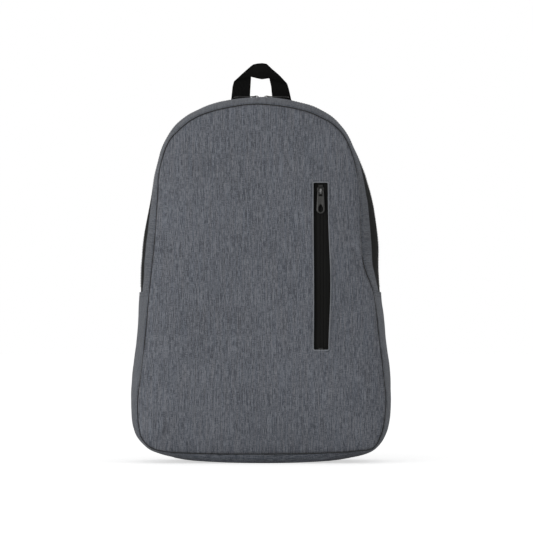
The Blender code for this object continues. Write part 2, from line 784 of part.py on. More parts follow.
def ribbon(path, half_widths, out_from, out_to, across=None):
    """A flat strip along a path; its face looks towards +Y unless its across direction is given."""
    path = [Vector(point) for point in path]
    grids = ([], [])
    for k, point in enumerate(path):
        run = (path[min(k + 1, len(path) - 1)] - path[max(k - 1, 0)]).normalized()
        if across is None:
            out = Vector((0.0, 1.0, 0.0))
            out = (out - run * out.dot(run)).normalized()
            wide = run.cross(out)
        else:
            wide = Vector(across)
            out = wide.cross(run).normalized()
        for grid, height in zip(grids, (out_from, out_to)):
            middle = point + out * height
            grid.append([middle - wide * half_widths[k], middle + wide * half_widths[k]])
    return grid_solid(*grids)


def lower_frame(side):
    """Directions and places of the lower strap hardware on one side."""
    flat = Vector((-side * math.sin(ADJUSTER_INWARD), 0.0, math.cos(ADJUSTER_INWARD)))
    back = Vector((0.0, 1.0, 0.0))
    up = flat * math.cos(ADJUSTER_LEAN) + back * math.sin(ADJUSTER_LEAN)
    out = back * math.cos(ADJUSTER_LEAN) - flat * math.sin(ADJUSTER_LEAN)
    tab = Vector((side * TAB_X, BACK_FACE_Y + GAP + WEBBING / 2, TAB_HEIGHT))
    foot = tab + back * (WEBBING / 2 + GAP + ADJUSTER / 2)
    lock = foot + up * ADJUSTER_RUN + out * (LOCK_BAR / 2 + GAP + ADJUSTER / 2)
    return flat, up, out, tab, foot, lock


def add_adjuster(suffix, side, webbing, plastic):
    flat, up, out, tab, foot, lock = lower_frame(side)
    across = flat.cross(Vector((0.0, 1.0, 0.0)))
    tab_path = (tab - flat * TAB_HALF_LENGTH, tab, tab + up * TAB_HALF_LENGTH)
    tab_half = (TAB_WIDTH / 2 + 0.006, TAB_WIDTH / 2, TAB_WIDTH / 2)
    add_object(
        f"corner_tab{suffix}",
        ribbon(tab_path, tab_half, -WEBBING / 2, WEBBING / 2, across),
        webbing,
    )
    turn = LOCK_BAR / 2 + GAP + ADJUSTER / 2
    path = [foot - flat * ADJUSTER_SEWN_LENGTH, foot]
    path += [foot + up * ADJUSTER_RUN * share for share in (0.25, 0.5, 0.75, 1.0)]
    top = lock + up * (LOCK_BAR / 2)
    for angle in np.linspace(0, math.pi, 9):
        path.append(top - out * (turn * math.cos(angle)) + up * (turn * math.sin(angle)))
    for share in (0.2, 0.6, 1.0):
        path.append(lock + out * turn - up * (ADJUSTER_TAIL * share))
    half = [ADJUSTER_WIDTH / 2] * len(path)
    add_object(
        f"adjuster_webbing{suffix}",
        ribbon(path, half, -ADJUSTER / 2, ADJUSTER / 2, across),
        webbing,
    )
    place = placed_frame(lock, up, out)
    inner = ADJUSTER_WIDTH / 2 + LOCK_SIDE_PLAY
    bars = (-1.5 * LOCK_BAR - LOCK_SLOT, -LOCK_BAR / 2 - LOCK_SLOT, -LOCK_BAR / 2)
    along = (*bars, *[-value for value in reversed(bars)])
    frame = ((-inner - LOCK_RAIL, -inner, inner, inner + LOCK_RAIL), along)
    lock_out = (-LOCK_BAR / 2, LOCK_BAR / 2)
    add_object(
        f"ladder_lock{suffix}",
        cells_solid(*frame, lock_out, lambda i, j, k: i != 1 or j not in (1, 3), place),
        plastic,
    )
    bar_low = LOCK_BAR / 2 + LOCK_SLOT - GAP
    bar_high = 1.5 * LOCK_BAR + LOCK_SLOT + GAP
    inner_out = LOCK_BAR / 2 + GAP
    outer_out = inner_out + ADJUSTER
    loop = (
        (-ADJUSTER_WIDTH / 2, ADJUSTER_WIDTH / 2),
        (bar_low - ADJUSTER, bar_low, bar_high, bar_low + LOCK_LOOP_LENGTH),
        (-outer_out, -inner_out, inner_out, outer_out),
    )
    add_object(
        f"lock_loop{suffix}",
        cells_solid(*loop, lambda i, j, k: (j, k) != (1, 1), place),
        webbing,
    )
    return lock, up, bar_low + LOCK_LOOP_LENGTH + GAP


def add_strap(suffix, side, cloth, foam, webbing, mesh_cloth, plastic):
    lock, up, reach = add_adjuster(suffix, side, webbing, plastic)
    stack = STRAP_MESH + STRAP_FOAM + STRAP_SHELL + 2 * GAP
    start = lock + up * reach
    top_y = BACK_FACE_Y + GAP + stack / 2
    top_z = YOKE_TOP - YOKE_HEIGHT - GAP
    top_x = side * STRAP_TOP_X
    rise = top_z - STRAP_SEWN_LENGTH - start.z
    bow_y = BACK_FACE_Y + STRAP_BOW
    knots = [
        start,
        (start.x + (top_x - start.x) * 0.40, bow_y, start.z + rise * 0.31),
        (start.x + (top_x - start.x) * 0.72, bow_y, start.z + rise * 0.62),
        (start.x + (top_x - start.x) * 0.92, (bow_y + top_y) / 2 - 0.004, start.z + rise * 0.85),
        (top_x, top_y, top_z - STRAP_SEWN_LENGTH),
    ]
    path = smooth_curve([tuple(knot) for knot in knots], tuple(up), (0.0, 0.0, 1.0), 6)
    path = [*path, (top_x, top_y, top_z)]
    shares = np.linspace(0.0, 1.0, len(path))
    half = (STRAP_END_WIDTH + (STRAP_WIDTH - STRAP_END_WIDTH) * np.minimum(1.0, 2.5 * shares)) / 2
    low = -stack / 2
    for name, thickness, finish in (
        ("strap_mesh", STRAP_MESH, mesh_cloth),
        ("strap_foam", STRAP_FOAM, foam),
        ("strap_shell", STRAP_SHELL, cloth),
    ):
        add_object(f"{name}{suffix}", ribbon(path, half, low, low + thickness), finish)
        low += thickness + GAP


def build():
    clear_scene()
    fabric = make_material("heather_fabric", (0.115, 0.125, 0.145), 0.9)
    trim = make_material("welt_fabric", (0.135, 0.145, 0.165), 0.9)
    lining = make_material("lining_fabric", (0.03, 0.03, 0.033), 0.85)
    tape = make_material("zip_tape", (0.012, 0.012, 0.011), 0.8)
    coil = make_material("zip_coil", (0.010, 0.010, 0.010), 0.45)
    metal = make_material("slider_metal", (0.05, 0.05, 0.05), 0.4, 1.0)
    dark_metal = make_material("pull_metal", (0.045, 0.045, 0.044), 0.45, 1.0)
    mesh_cloth = make_material("mesh_cloth", (0.015, 0.015, 0.016), 0.95)
    foam = make_material("foam", (0.05, 0.05, 0.05), 0.9)
    webbing = make_material("webbing", (0.008, 0.008, 0.007), 0.75)
    plastic = make_material("buckle_plastic", (0.012, 0.012, 0.012), 0.4)
    middle_x = add_front(fabric, trim, lining)
    add_pocket_zip(middle_x, tape, coil, metal, dark_metal)
    add_gussets(fabric, lining)
    add_main_zip(tape, coil, metal, dark_metal)
    add_back(mesh_cloth, foam, fabric)
    add_haul_loop(webbing)
    for suffix, side in (("_left", -1), ("_right", 1)):
        add_strap(suffix, side, fabric, foam, webbing, mesh_cloth, plastic)


build()
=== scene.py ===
# Looks of the daypack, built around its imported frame. Metres, +Z up, front towards -Y.
import math
from functools import partial

import bmesh
import bpy
import numpy as np
from mathutils import Matrix, Vector, noise


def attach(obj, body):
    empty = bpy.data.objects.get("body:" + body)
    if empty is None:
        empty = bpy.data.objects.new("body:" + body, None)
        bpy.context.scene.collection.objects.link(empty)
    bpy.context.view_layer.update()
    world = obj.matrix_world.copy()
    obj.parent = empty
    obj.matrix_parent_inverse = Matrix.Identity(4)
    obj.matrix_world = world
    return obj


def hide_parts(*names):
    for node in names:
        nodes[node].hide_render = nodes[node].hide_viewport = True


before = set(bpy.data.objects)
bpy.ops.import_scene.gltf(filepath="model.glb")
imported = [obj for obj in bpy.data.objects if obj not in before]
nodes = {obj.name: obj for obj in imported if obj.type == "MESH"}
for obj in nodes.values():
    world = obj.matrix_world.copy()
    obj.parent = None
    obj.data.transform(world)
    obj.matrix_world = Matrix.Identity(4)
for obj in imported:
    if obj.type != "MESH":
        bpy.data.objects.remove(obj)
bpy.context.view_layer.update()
print("frame loaded")


def setInputs(node, **values):
    for key, value in values.items():
        node.inputs[key.replace("_", " ")].default_value = value


def putNode(tree, kind, **values):
    made = tree.nodes.new(kind)
    for key, value in values.items():
        if hasattr(made, key):
            setattr(made, key, value)
        else:
            setInputs(made, **{key: value})
    return made


def join(tree, *pairs):
    for source, target in pairs:
        tree.links.new(source, target)


def mathNode(tree, operation, first, second=None, clamp=False):
    made = putNode(tree, "ShaderNodeMath", operation=operation, use_clamp=clamp)
    for socket, value in zip(made.inputs, (first, second)):
        if isinstance(value, bpy.types.NodeSocket):
            tree.links.new(value, socket)
        elif value is not None:
            socket.default_value = value
    return made.outputs[0]


def sumsOf(tree):
    # short forms of the sums that the trees use most
    return (partial(mathNode, tree, kind) for kind in ("ADD", "SUBTRACT", "MULTIPLY", "SINE"))


def mixColour(tree, factor, first, second):
    made = putNode(tree, "ShaderNodeMix", data_type="RGBA")
    for index, value in ((0, factor), (6, first), (7, second)):
        if isinstance(value, bpy.types.NodeSocket):
            tree.links.new(value, made.inputs[index])
        else:
            made.inputs[index].default_value = (*value, 1.0)
    return made.outputs[2]


def scaledNoise(tree, vector, stretch, detail=2.0, roughness=0.55):
    scaled = putNode(tree, "ShaderNodeVectorMath", operation="MULTIPLY")
    scaled.inputs[1].default_value = stretch if isinstance(stretch, tuple) else (stretch,) * 3
    made = putNode(tree, "ShaderNodeTexNoise", Scale=1.0, Detail=detail, Roughness=roughness)
    join(tree, (vector, scaled.inputs[0]), (scaled.outputs[0], made.inputs["Vector"]))
    return made.outputs["Fac"]


def newGroup(name, inputs, outputs):
    group = bpy.data.node_groups.new(name, "ShaderNodeTree")
    for sockets, way in ((inputs, "INPUT"), (outputs, "OUTPUT")):
        for socketName, kind in sockets:
            group.interface.new_socket(socketName, in_out=way, socket_type="NodeSocket" + kind)
    source = group.nodes.new("NodeGroupInput")
    sink = group.nodes.new("NodeGroupOutput")
    split = putNode(group, "ShaderNodeSeparateXYZ")
    group.links.new(source.outputs["Vector"], split.inputs[0])
    return group, source.outputs, sink.inputs, split.outputs


def makeHeatherGroup():
    # vertical streaks of darker and lighter yarn over a fine plain weave
    group, given, result, place = newGroup(
        "heatherYarn",
        (("Vector", "Vector"), ("Dark", "Color"), ("Light", "Color"), ("Contrast", "Float")),
        (("Color", "Color"), ("Height", "Float"), ("Roughness", "Float")),
    )
    plus, minus, times, sine = sumsOf(group)
    streaks = partial(scaledNoise, group, given["Vector"])
    long = streaks((1250.0, 34.0, 1250.0), 2.0, 0.55)
    short = streaks((2000.0, 150.0, 2000.0), 1.0, 0.5)
    grain = streaks((1500.0, 1300.0, 1500.0), 1.0, 0.5)
    cross = streaks((170.0, 1700.0, 170.0), 1.0, 0.5)
    tint = streaks((420.0, 16.0, 420.0), 2.0, 0.6)
    patch = streaks((14.0, 9.0, 14.0), 2.0, 0.5)
    fine = times(minus(short, 0.5), 2.2)
    speck = times(minus(plus(grain, times(cross, 0.7)), 0.85), 1.7)
    wide = times(minus(patch, 0.5), 0.35)
    total = plus(plus(times(minus(long, 0.5), 2.1), fine), plus(speck, wide))
    share = plus(times(total, given["Contrast"]), 0.46, clamp=True)
    hue = putNode(group, "ShaderNodeMapRange", From_Min=0.35, From_Max=0.65)
    tone = mixColour(group, hue.outputs[0], (1.015, 1.0, 0.985), (0.975, 1.0, 1.025))
    tinted = putNode(group, "ShaderNodeVectorMath", operation="MULTIPLY")
    yarnTurn = 2 * math.pi / 0.0011
    weave = times(sine(times(place[0], yarnTurn)), sine(times(place[1], yarnTurn)))
    join(
        group,
        (tint, hue.inputs[0]),
        (mixColour(group, share, given["Dark"], given["Light"]), tinted.inputs[0]),
        (tone, tinted.inputs[1]),
        (tinted.outputs[0], result["Color"]),
        (plus(times(weave, 0.5), fine), result["Height"]),
        (plus(times(short, 0.2), 0.76), result["Roughness"]),
    )
    return group


def makeRibGroup():
    # ribbed webbing or tape: ribs lie side by side along the first coordinate, picks cross them; the colour
    # follows their height, painted shade in the grooves and painted light on the crests
    group, given, result, place = newGroup(
        "wovenRibs",
        (("Vector", "Vector"), ("Rib", "Float"), ("Pick", "Float"), ("Low", "Color"), ("High", "Color")),
        (("Color", "Color"), ("Height", "Float")),
    )
    plus, _, times, sine = sumsOf(group)
    across = mathNode(group, "DIVIDE", times(place[0], 2 * math.pi), given["Rib"])
    along = mathNode(group, "DIVIDE", times(place[1], 2 * math.pi), given["Pick"])
    rib = times(plus(sine(across), 1.0), 0.5)
    pick = times(plus(sine(plus(along, times(across, 0.5))), 1.0), 0.5)
    height = plus(rib, times(pick, 0.4))
    fuzz = scaledNoise(group, given["Vector"], (2400.0, 1400.0, 2400.0))
    # colour by height: painted shade in the grooves, painted light on the crests
    share = times(times(height, 0.75), fuzz, clamp=True)
    join(
        group,
        (mixColour(group, share, given["Low"], given["High"]), result["Color"]),
        (height, result["Height"]),
    )
    return group


heatherYarn = makeHeatherGroup()
wovenRibs = makeRibGroup()


def startMaterial(name, **values):
    made = bpy.data.materials.new(name)
    made.use_nodes = True
    tree = made.node_tree
    shader = tree.nodes["Principled BSDF"]
    setInputs(shader, **values)
    return made, tree, shader


def addBump(tree, shader, height, strength, distance):
    bump = putNode(tree, "ShaderNodeBump", Strength=strength, Distance=distance)
    join(tree, (height, bump.inputs["Height"]), (bump.outputs[0], shader.inputs["Normal"]))


def objectPlace(tree):
    return putNode(tree, "ShaderNodeTexCoord").outputs["Object"]


def clothVector(tree, fromMap):
    # the cloth's own map, or the object's x and z where the CAD or a band has no such map
    if fromMap:
        return putNode(tree, "ShaderNodeUVMap", uv_map="cloth").outputs[0]
    split = putNode(tree, "ShaderNodeSeparateXYZ")
    joined = putNode(tree, "ShaderNodeCombineXYZ")
    join(
        tree,
        (objectPlace(tree), split.inputs[0]),
        (split.outputs[0], joined.inputs[0]),
        (split.outputs[2], joined.inputs[1]),
    )
    return joined.outputs[0]


def clothMaterial(name, group, bump, depth, look, fromMap=True, **values):
    # a material that takes all that its node group offers
    made, tree, shader = startMaterial(name, **values)
    weave = putNode(tree, "ShaderNodeGroup", node_tree=group)
    setInputs(weave, **look)
    tree.links.new(clothVector(tree, fromMap), weave.inputs["Vector"])
    tree.links.new(weave.outputs["Color"], shader.inputs["Base Color"])
    if "Roughness" in weave.outputs:
        tree.links.new(weave.outputs["Roughness"], shader.inputs["Roughness"])
    addBump(tree, shader, weave.outputs["Height"], bump, depth)
    return made


def heatherMaterial(name, dark, light, contrast=2.0, fromMap=True):
    look = {"Dark": (*dark, 1.0), "Light": (*light, 1.0), "Contrast": contrast}
    return clothMaterial(
        name, heatherYarn, 0.35, 0.0002, look, fromMap,
        Sheen_Weight=0.12, Sheen_Roughness=0.5, Specular_IOR_Level=0.25,
    )


def ribbedMaterial(name, rib, pick, low, high, bump):
    look = {"Rib": rib, "Pick": pick, "Low": (*low, 1.0), "High": (*high, 1.0)}
    return clothMaterial(name, wovenRibs, bump, 0.0003, look, Roughness=0.75, Specular_IOR_Level=0.06)


def meshClothMaterial():
    # black spacer mesh: round holes between knitted bars
    made, tree, shader = startMaterial("spacerMesh", Roughness=0.9)
    place = objectPlace(tree)
    cells = putNode(tree, "ShaderNodeTexVoronoi", Scale=360.0, Randomness=0.25)
    ramp = putNode(tree, "ShaderNodeMapRange", From_Min=0.2, From_Max=0.5)
    lit = mathNode(tree, "MULTIPLY", ramp.outputs[0], scaledNoise(tree, place, 900.0))
    join(
        tree,
        (place, cells.inputs["Vector"]),
        (cells.outputs["Distance"], ramp.inputs[0]),
        (mixColour(tree, lit, (0.004, 0.004, 0.0045), (0.04, 0.041, 0.044)), shader.inputs["Base Color"]),
    )
    addBump(tree, shader, ramp.outputs[0], 0.7, 0.0006)
    return made


def mottledMaterial(name, low, high, roughness, grain=1500.0, metal=False):
    # faint clouds of colour and a fine texture, for metal, plastic, thread and lining
    made, tree, shader = startMaterial(name, Metallic=1.0 if metal else 0.0)
    place = objectPlace(tree)
    cloud = scaledNoise(tree, place, 420.0 if metal else 120.0, 3.0)
    texture = scaledNoise(tree, place, grain)
    wander = 0.3 if metal else 0.2
    rough = mathNode(tree, "MULTIPLY", texture, wander)
    join(
        tree,
        (mixColour(tree, cloud, low, high), shader.inputs["Base Color"]),
        (mathNode(tree, "ADD", rough, roughness - wander / 2), shader.inputs["Roughness"]),
    )
    addBump(tree, shader, texture, 0.12 if metal else 0.25, 0.0001 if metal else 0.0002)
    return made


metalMaterial = partial(mottledMaterial, grain=(3200.0, 3200.0, 260.0), metal=True)
panelCloth = heatherMaterial("panelCloth", (0.068, 0.074, 0.088), (0.188, 0.197, 0.221))
gussetCloth = heatherMaterial("gussetCloth", (0.054, 0.06, 0.072), (0.146, 0.156, 0.178))
# the welt is the heather fabric made lighter: a painted highlight where its folded edge catches light
weltHighlightCloth = heatherMaterial("weltHighlightCloth", (0.15, 0.16, 0.175), (0.26, 0.27, 0.29), 1.6)
strapCloth = heatherMaterial("strapCloth", (0.07, 0.076, 0.09), (0.16, 0.168, 0.19), fromMap=False)
zipTape = ribbedMaterial("zipTape", 0.0016, 0.0011, (0.006, 0.006, 0.006), (0.026, 0.026, 0.024), 0.6)
blackWebbing = ribbedMaterial(
    "blackWebbing", 0.0017, 0.0012, (0.003, 0.003, 0.003), (0.014, 0.014, 0.013), 0.9,
)
bindingTape = ribbedMaterial("bindingTape", 0.001, 0.001, (0.004, 0.004, 0.004), (0.016, 0.016, 0.016), 0.5)
spacerMesh = meshClothMaterial()
gunMetal = metalMaterial("gunMetal", (0.028, 0.028, 0.028), (0.05, 0.05, 0.049), 0.36)
# a lighter copy of the slider metal, put on each slider's bridge as a painted highlight
paintedHighlightMetal = metalMaterial("paintedHighlightMetal", (0.16, 0.16, 0.158), (0.3, 0.3, 0.295), 0.24)
pullMetal = metalMaterial("pullMetal", (0.045, 0.045, 0.044), (0.075, 0.075, 0.073), 0.42)
buckleBlack = mottledMaterial("buckleBlack", (0.01, 0.01, 0.0105), (0.017, 0.017, 0.018), 0.42)
coilBlack = mottledMaterial("coilBlack", (0.007, 0.007, 0.007), (0.013, 0.013, 0.013), 0.35)
threadGrey = mottledMaterial("threadGrey", (0.05, 0.054, 0.062), (0.085, 0.09, 0.1), 0.8, 3000.0)
threadBlack = mottledMaterial("threadBlack", (0.012, 0.012, 0.012), (0.024, 0.024, 0.024), 0.8, 3000.0)
liningCloth = mottledMaterial("liningCloth", (0.026, 0.026, 0.03), (0.036, 0.036, 0.04), 0.85, 900.0)
foamGrey = mottledMaterial("foamGrey", (0.04, 0.04, 0.042), (0.06, 0.06, 0.062), 0.9, 500.0)

# the nodes that stay as the CAD made them
for name, finish in (
    ("pocket_pouch", liningCloth),
    ("pocket_zip_coil", coilBlack),
    ("back_foam_pad", foamGrey),
    ("pocket_zip_top_stop", gunMetal),
    ("pocket_zip_bottom_stop", gunMetal),
    ("ladder_lock_left", buckleBlack),
    ("ladder_lock_right", buckleBlack),
):
    nodes[name].data.materials.clear()
    nodes[name].data.materials.append(finish)
print("materials made")

# the body: where the front leans, how its sides round off, its cloth and its main zip
bag = {
    "frontLowY": -0.056,
    "frontTopY": -0.03,
    "leanTop": 0.376,
    "backY": 0.055,
    "sidePower": 1.4,
    "cloth": 0.0014,
    "zipShare": 0.52,
    "tapeHalf": 0.013,
    "centre": Vector((0.0, 0.2)),
}

# A rib is one station of the outline: crest x and z, front seam x and z, the shares of the depth
# where the crest starts and ends, the inset at the back seam, and where the zip tape's front edge lies.
leftRibs = (
    (-0.075, 0.0026, -0.07, 0.0105, 0.1, 0.92, 0.011, 0.4),
    (-0.108, 0.0078, -0.105, 0.0122, 0.17, 0.86, 0.009, 0.4),
    (-0.13, 0.016, -0.126, 0.0165, 0.2, 0.82, 0.009, 0.4),
    (-0.1452, 0.033, -0.1385, 0.031, 0.26, 0.76, 0.009, 0.4),
    (-0.1498, 0.066, -0.1424, 0.066, 0.38, 0.68, 0.011, 0.4),
    (-0.1485, 0.104, -0.1385, 0.104, 0.46, 0.65, 0.013, 0.4),
    (-0.1435, 0.145, -0.1335, 0.145, 0.52, 0.62, 0.014, 0.4),
    (-0.141, 0.19, -0.1297, 0.192, 0.56, 0.62, 0.014, 0.34),
    (-0.14, 0.226, -0.126, 0.226, 0.58, 0.62, 0.014, 0.31),
    (-0.1372, 0.262, -0.1228, 0.258, 0.58, 0.62, 0.014, 0.3),
    (-0.13, 0.302, -0.1198, 0.303, 0.57, 0.63, 0.014, 0.32),
    (-0.1228, 0.337, -0.118, 0.334, 0.48, 0.66, 0.013, 0.4),
    (-0.1135, 0.3646, -0.1085, 0.3655, 0.4, 0.7, 0.013, 0.4),
    (-0.099, 0.387, -0.0935, 0.3835, 0.33, 0.73, 0.012, 0.4),
    (-0.078, 0.403, -0.0752, 0.3965, 0.33, 0.73, 0.012, 0.4),
    (-0.045, 0.4145, -0.044, 0.4068, 0.33, 0.73, 0.012, 0.4),
)
rightRibs = (
    (0.075, 0.0024, 0.07, 0.0112, 0.1, 0.92, 0.011, 0.4),
    (0.11, 0.0078, 0.107, 0.013, 0.17, 0.86, 0.009, 0.4),
    (0.131, 0.016, 0.128, 0.017, 0.2, 0.82, 0.009, 0.4),
    (0.144, 0.036, 0.1388, 0.036, 0.26, 0.76, 0.009, 0.4),
    (0.1487, 0.068, 0.1432, 0.066, 0.38, 0.68, 0.011, 0.4),
    (0.148, 0.104, 0.1402, 0.104, 0.46, 0.65, 0.013, 0.4),
    (0.1432, 0.145, 0.1352, 0.145, 0.52, 0.62, 0.014, 0.4),
    (0.139, 0.19, 0.1298, 0.192, 0.56, 0.62, 0.014, 0.34),
    (0.1368, 0.226, 0.118, 0.226, 0.58, 0.62, 0.014, 0.28),
    (0.1362, 0.256, 0.115, 0.254, 0.58, 0.62, 0.014, 0.28),
    (0.1308, 0.296, 0.1142, 0.294, 0.57, 0.63, 0.014, 0.27),
    (0.121, 0.331, 0.1112, 0.327, 0.52, 0.66, 0.013, 0.25),
    (0.1088, 0.358, 0.104, 0.3565, 0.45, 0.7, 0.013, 0.33),
    (0.0945, 0.384, 0.0915, 0.38, 0.33, 0.73, 0.012, 0.4),
    (0.0745, 0.4015, 0.073, 0.3945, 0.33, 0.73, 0.012, 0.4),
    (0.043, 0.4135, 0.0424, 0.4058, 0.33, 0.73, 0.012, 0.4),
)
baseRib = (0.0, 0.0, 0.0, 0.0102, 0.1, 0.92, 0.011, 0.4)
topRib = (-0.002, 0.4196, -0.002, 0.4118, 0.33, 0.73, 0.012, 0.4)
joinHeight = 0.195


def hermite(start, slopeStart, end, slopeEnd, t):
    return (
        start * (2 * t**3 - 3 * t**2 + 1) + slopeStart * (t**3 - 2 * t**2 + t)
        + end * (3 * t**2 - 2 * t**3) + slopeEnd * (t**3 - t**2)
    )


def closedSpline(knots, steps):
    knots = np.array(knots)
    rows = []
    for k in range(len(knots)):
        before, start, end, after = (knots[(k + j) % len(knots)] for j in (-1, 0, 1, 2))
        lengths = [np.linalg.norm((b - a)[:2]) for a, b in ((before, start), (start, end), (end, after))]
        slopeStart = (end - before) / (lengths[0] + lengths[1]) * lengths[1]
        slopeEnd = (after - start) / (lengths[1] + lengths[2]) * lengths[1]
        rows += [hermite(start, slopeStart, end, slopeEnd, step / steps) for step in range(steps)]
    return np.array(rows)


ribSteps = 16
ribs = closedSpline([baseRib, *rightRibs, topRib, *leftRibs[::-1]], ribSteps)
crestRun = np.linalg.norm(np.roll(ribs[:, :2], -1, axis=0) - ribs[:, :2], axis=1)
ribAlong = np.concatenate(([0.0], np.cumsum(crestRun)))
girth = ribAlong[-1]
ribsClosed = np.vstack((ribs, ribs[:1]))
crestTangent = np.gradient(ribsClosed[:, :2], ribAlong, axis=0)
crestTangent[0] = crestTangent[-1] = (1.0, 0.0)


def ribAt(along):
    # the rib at a distance round the outline, and its outward direction in x and z
    along %= girth
    row = [float(np.interp(along, ribAlong, ribsClosed[:, k])) for k in range(8)]
    tx, tz = (float(np.interp(along, ribAlong, crestTangent[:, k])) for k in range(2))
    size = math.hypot(tx, tz)
    return row, tz / size, -tx / size


topAlong = float(ribAlong[(len(rightRibs) + 1) * ribSteps])
rightHalf = ribAlong <= topAlong
leftHalf = ribAlong >= topAlong
joinRight = float(np.interp(joinHeight, ribsClosed[rightHalf, 1], ribAlong[rightHalf]))
joinLeft = float(np.interp(-joinHeight, -ribsClosed[leftHalf, 1], ribAlong[leftHalf]))


def clipped(value):
    return min(1.0, max(0.0, value))


def bell(value, width):
    return math.exp(-((value / width) ** 2))


def seamY(height):
    share = min(max(height, 0.0) / bag["leanTop"], 1.0)
    return bag["frontLowY"] + (bag["frontTopY"] - bag["frontLowY"]) * share


def depthOf(along):
    return bag["backY"] - seamY(ribAt(along)[0][1])


def ripple(x, y, z, size, seed):
    return noise.noise(Vector((x / size + seed, y / size, z / size)))


def sidePoint(along, share, sink=0.0, wrinkle=1.0):
    # a point on the side of the bag, at a share of its depth
    (x, z, seamX, seamZ, crestFrom, crestTo, backInset, _), outX, outZ = ribAt(along)
    front = seamY(z)
    depth = bag["backY"] - front
    power = bag["sidePower"]
    px, pz, slope = x, z, 0.0
    if share < crestFrom:
        left = (crestFrom - share) / crestFrom
        px += (seamX - x) * left**power
        pz += (seamZ - z) * left**power
        slope = -math.hypot(seamX - x, seamZ - z) * power / crestFrom * left ** (power - 1)
    elif share > crestTo:
        past = (share - crestTo) / (1 - crestTo)
        px -= outX * backInset * past**power
        pz -= outZ * backInset * past**power
        slope = backInset * power / (1 - crestTo) * past ** (power - 1)
    py = front + share * depth
    out = Vector((depth * outX, slope, depth * outZ)).normalized()
    if wrinkle:
        # broad waves and small creases, calm under the base, and puckers near both seams
        calm = clipped((pz - 0.004) / 0.02) if abs(px) < 0.1 else 1.0
        away = min(share, 1.0 - share, 0.12) / 0.12
        near = bell(share, 0.05) + bell(1 - share, 0.05)
        push = 0.0011 * ripple(px, py, pz, 0.05, 3.0) + 0.0005 * ripple(px, py, pz, 0.017, 9.0)
        push += 0.0006 * near * ripple(px, py, pz, 0.009, 5.0)
        push += 0.0012 * near * ripple(px, py, pz, 0.026, 8.0)
        sink -= wrinkle * calm * (push * (0.35 + 0.65 * away))
    return Vector((px, py, pz)) - sink * out


def linked(name, data):
    made = bpy.data.objects.new(name, data)
    bpy.context.collection.objects.link(made)
    return made


def gridMesh(name, rowCount, width, at, closed=False, centre=(0.0, 0.0, 0.2), fan=None):
    # at(row, column) gives a point and its place (u, v) on the cloth in metres; fan closes the last row
    cells = [at(r, c) for r in range(rowCount) for c in range(width)] + ([fan] if fan else [])
    faces = []
    for r in range(rowCount - 1):
        for c in range(width if closed else width - 1):
            d = (c + 1) % width
            faces.append((r * width + c, r * width + d, (r + 1) * width + d, (r + 1) * width + c))
    if fan:
        last = (rowCount - 1) * width
        faces += [(last + c, last + (c + 1) % width, len(cells) - 1) for c in range(width)]
    mesh = bpy.data.meshes.new(name)
    mesh.from_pydata([tuple(point) for point, _ in cells], [], faces)
    layer = mesh.uv_layers.new(name="cloth")
    for polygon in mesh.polygons:
        wraps = closed and not fan and any(v % width == width - 1 for v in polygon.vertices)
        for loop in polygon.loop_indices:
            vertex = mesh.loops[loop].vertex_index
            (u, v) = cells[vertex][1]
            if wraps and vertex % width == 0:
                u, v = cells[vertex + width - 1][1]
            layer.data[loop].uv = (u, v)
    if sum((p.center - Vector(centre)).dot(p.normal) * p.area for p in mesh.polygons) < 0:
        mesh.flip_normals()
    mesh.shade_smooth()
    return linked(name, mesh)


def reshape(mesh, change):
    shape = bmesh.new()
    shape.from_mesh(mesh)
    change(shape)
    shape.to_mesh(mesh)
    shape.free()


def finishPiece(obj, material, slot=None, *replaced, body="bag", thickness=0.0):
    if material is not None:
        obj.data.materials.append(material)
    if thickness:
        wall = obj.modifiers.new("wall", "SOLIDIFY")
        wall.thickness = thickness
        wall.offset = -1.0
    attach(obj, body)
    if replaced:
        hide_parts(*replaced)


zipArc = {
    "height": 0.27, "radius": 0.1475, "reach": math.radians(47), "fade": math.radians(7),
    "half": 0.0055, "sink": 0.0018,
}


def channel(along, share):
    # how much deeper the zip lies where the sliders run, so that it keeps their arc
    row = ribAt(along)[0]
    across, up = row[0], row[1] - zipArc["height"]
    past = (abs(math.atan2(across, up)) - zipArc["reach"]) / zipArc["fade"]
    aside = abs(share - bag["zipShare"]) * depthOf(along)
    beside = (aside - zipArc["half"]) / (bag["tapeHalf"] - zipArc["half"])
    ease = (1 - clipped(past)) * (1 - clipped(beside))
    return max(0.0, math.hypot(across, up) - zipArc["sink"] - zipArc["radius"]) * ease


def sideStrip(name, alongs, edges, count, sink=0.0, wrinkle=1.0, roll=0.0, sunk=False, turned=False):
    # a strip of the side between two depth shares; roll tucks its edges in
    nominalDepth = 0.105

    def at(k, c):
        along = alongs[c]
        low, high = edges(along)
        even = k / (count - 1)
        share = low + (high - low) * (even - 0.11 * math.sin(2 * math.pi * even))
        edge = min(abs(share - low), abs(high - share))
        seam = min(share, 1.0 - share)
        tuck = roll * max(0.0, 1.0 - edge / 0.05) ** 2 + roll * max(0.0, 1.0 - seam / 0.035) ** 2
        extra = channel(along, share) if sunk else 0.0
        across = share * nominalDepth
        place = (along, across) if turned else (across, along)
        return sidePoint(along, share, sink + tuck + extra, wrinkle), place

    return gridMesh(name, count, len(alongs), at)


def tapeFront(along):
    return min(ribAt(along)[0][7], bag["zipShare"] - bag["tapeHalf"] / depthOf(along))


def tapeBack(along):
    return bag["zipShare"] + bag["tapeHalf"] / depthOf(along)


upperAlongs = np.linspace(joinRight, joinLeft, 260)
lowerAlongs = np.linspace(joinLeft - girth, joinRight, 300)
for name, alongs, edges, count, replaced in (
    ("topGussetFront", upperAlongs, lambda a: (0.0, tapeFront(a)), 22, "upper_gusset_front"),
    ("topGussetBack", upperAlongs, lambda a: (tapeBack(a), 1.0), 22, "upper_gusset_back"),
    ("lowerGusset", lowerAlongs, lambda a: (0.0, 1.0), 44, "lower_gusset"),
):
    gusset = sideStrip(name, alongs, edges, count, roll=0.0012, turned=count == 22)
    finishPiece(gusset, gussetCloth, "heather_fabric", replaced, thickness=bag["cloth"])


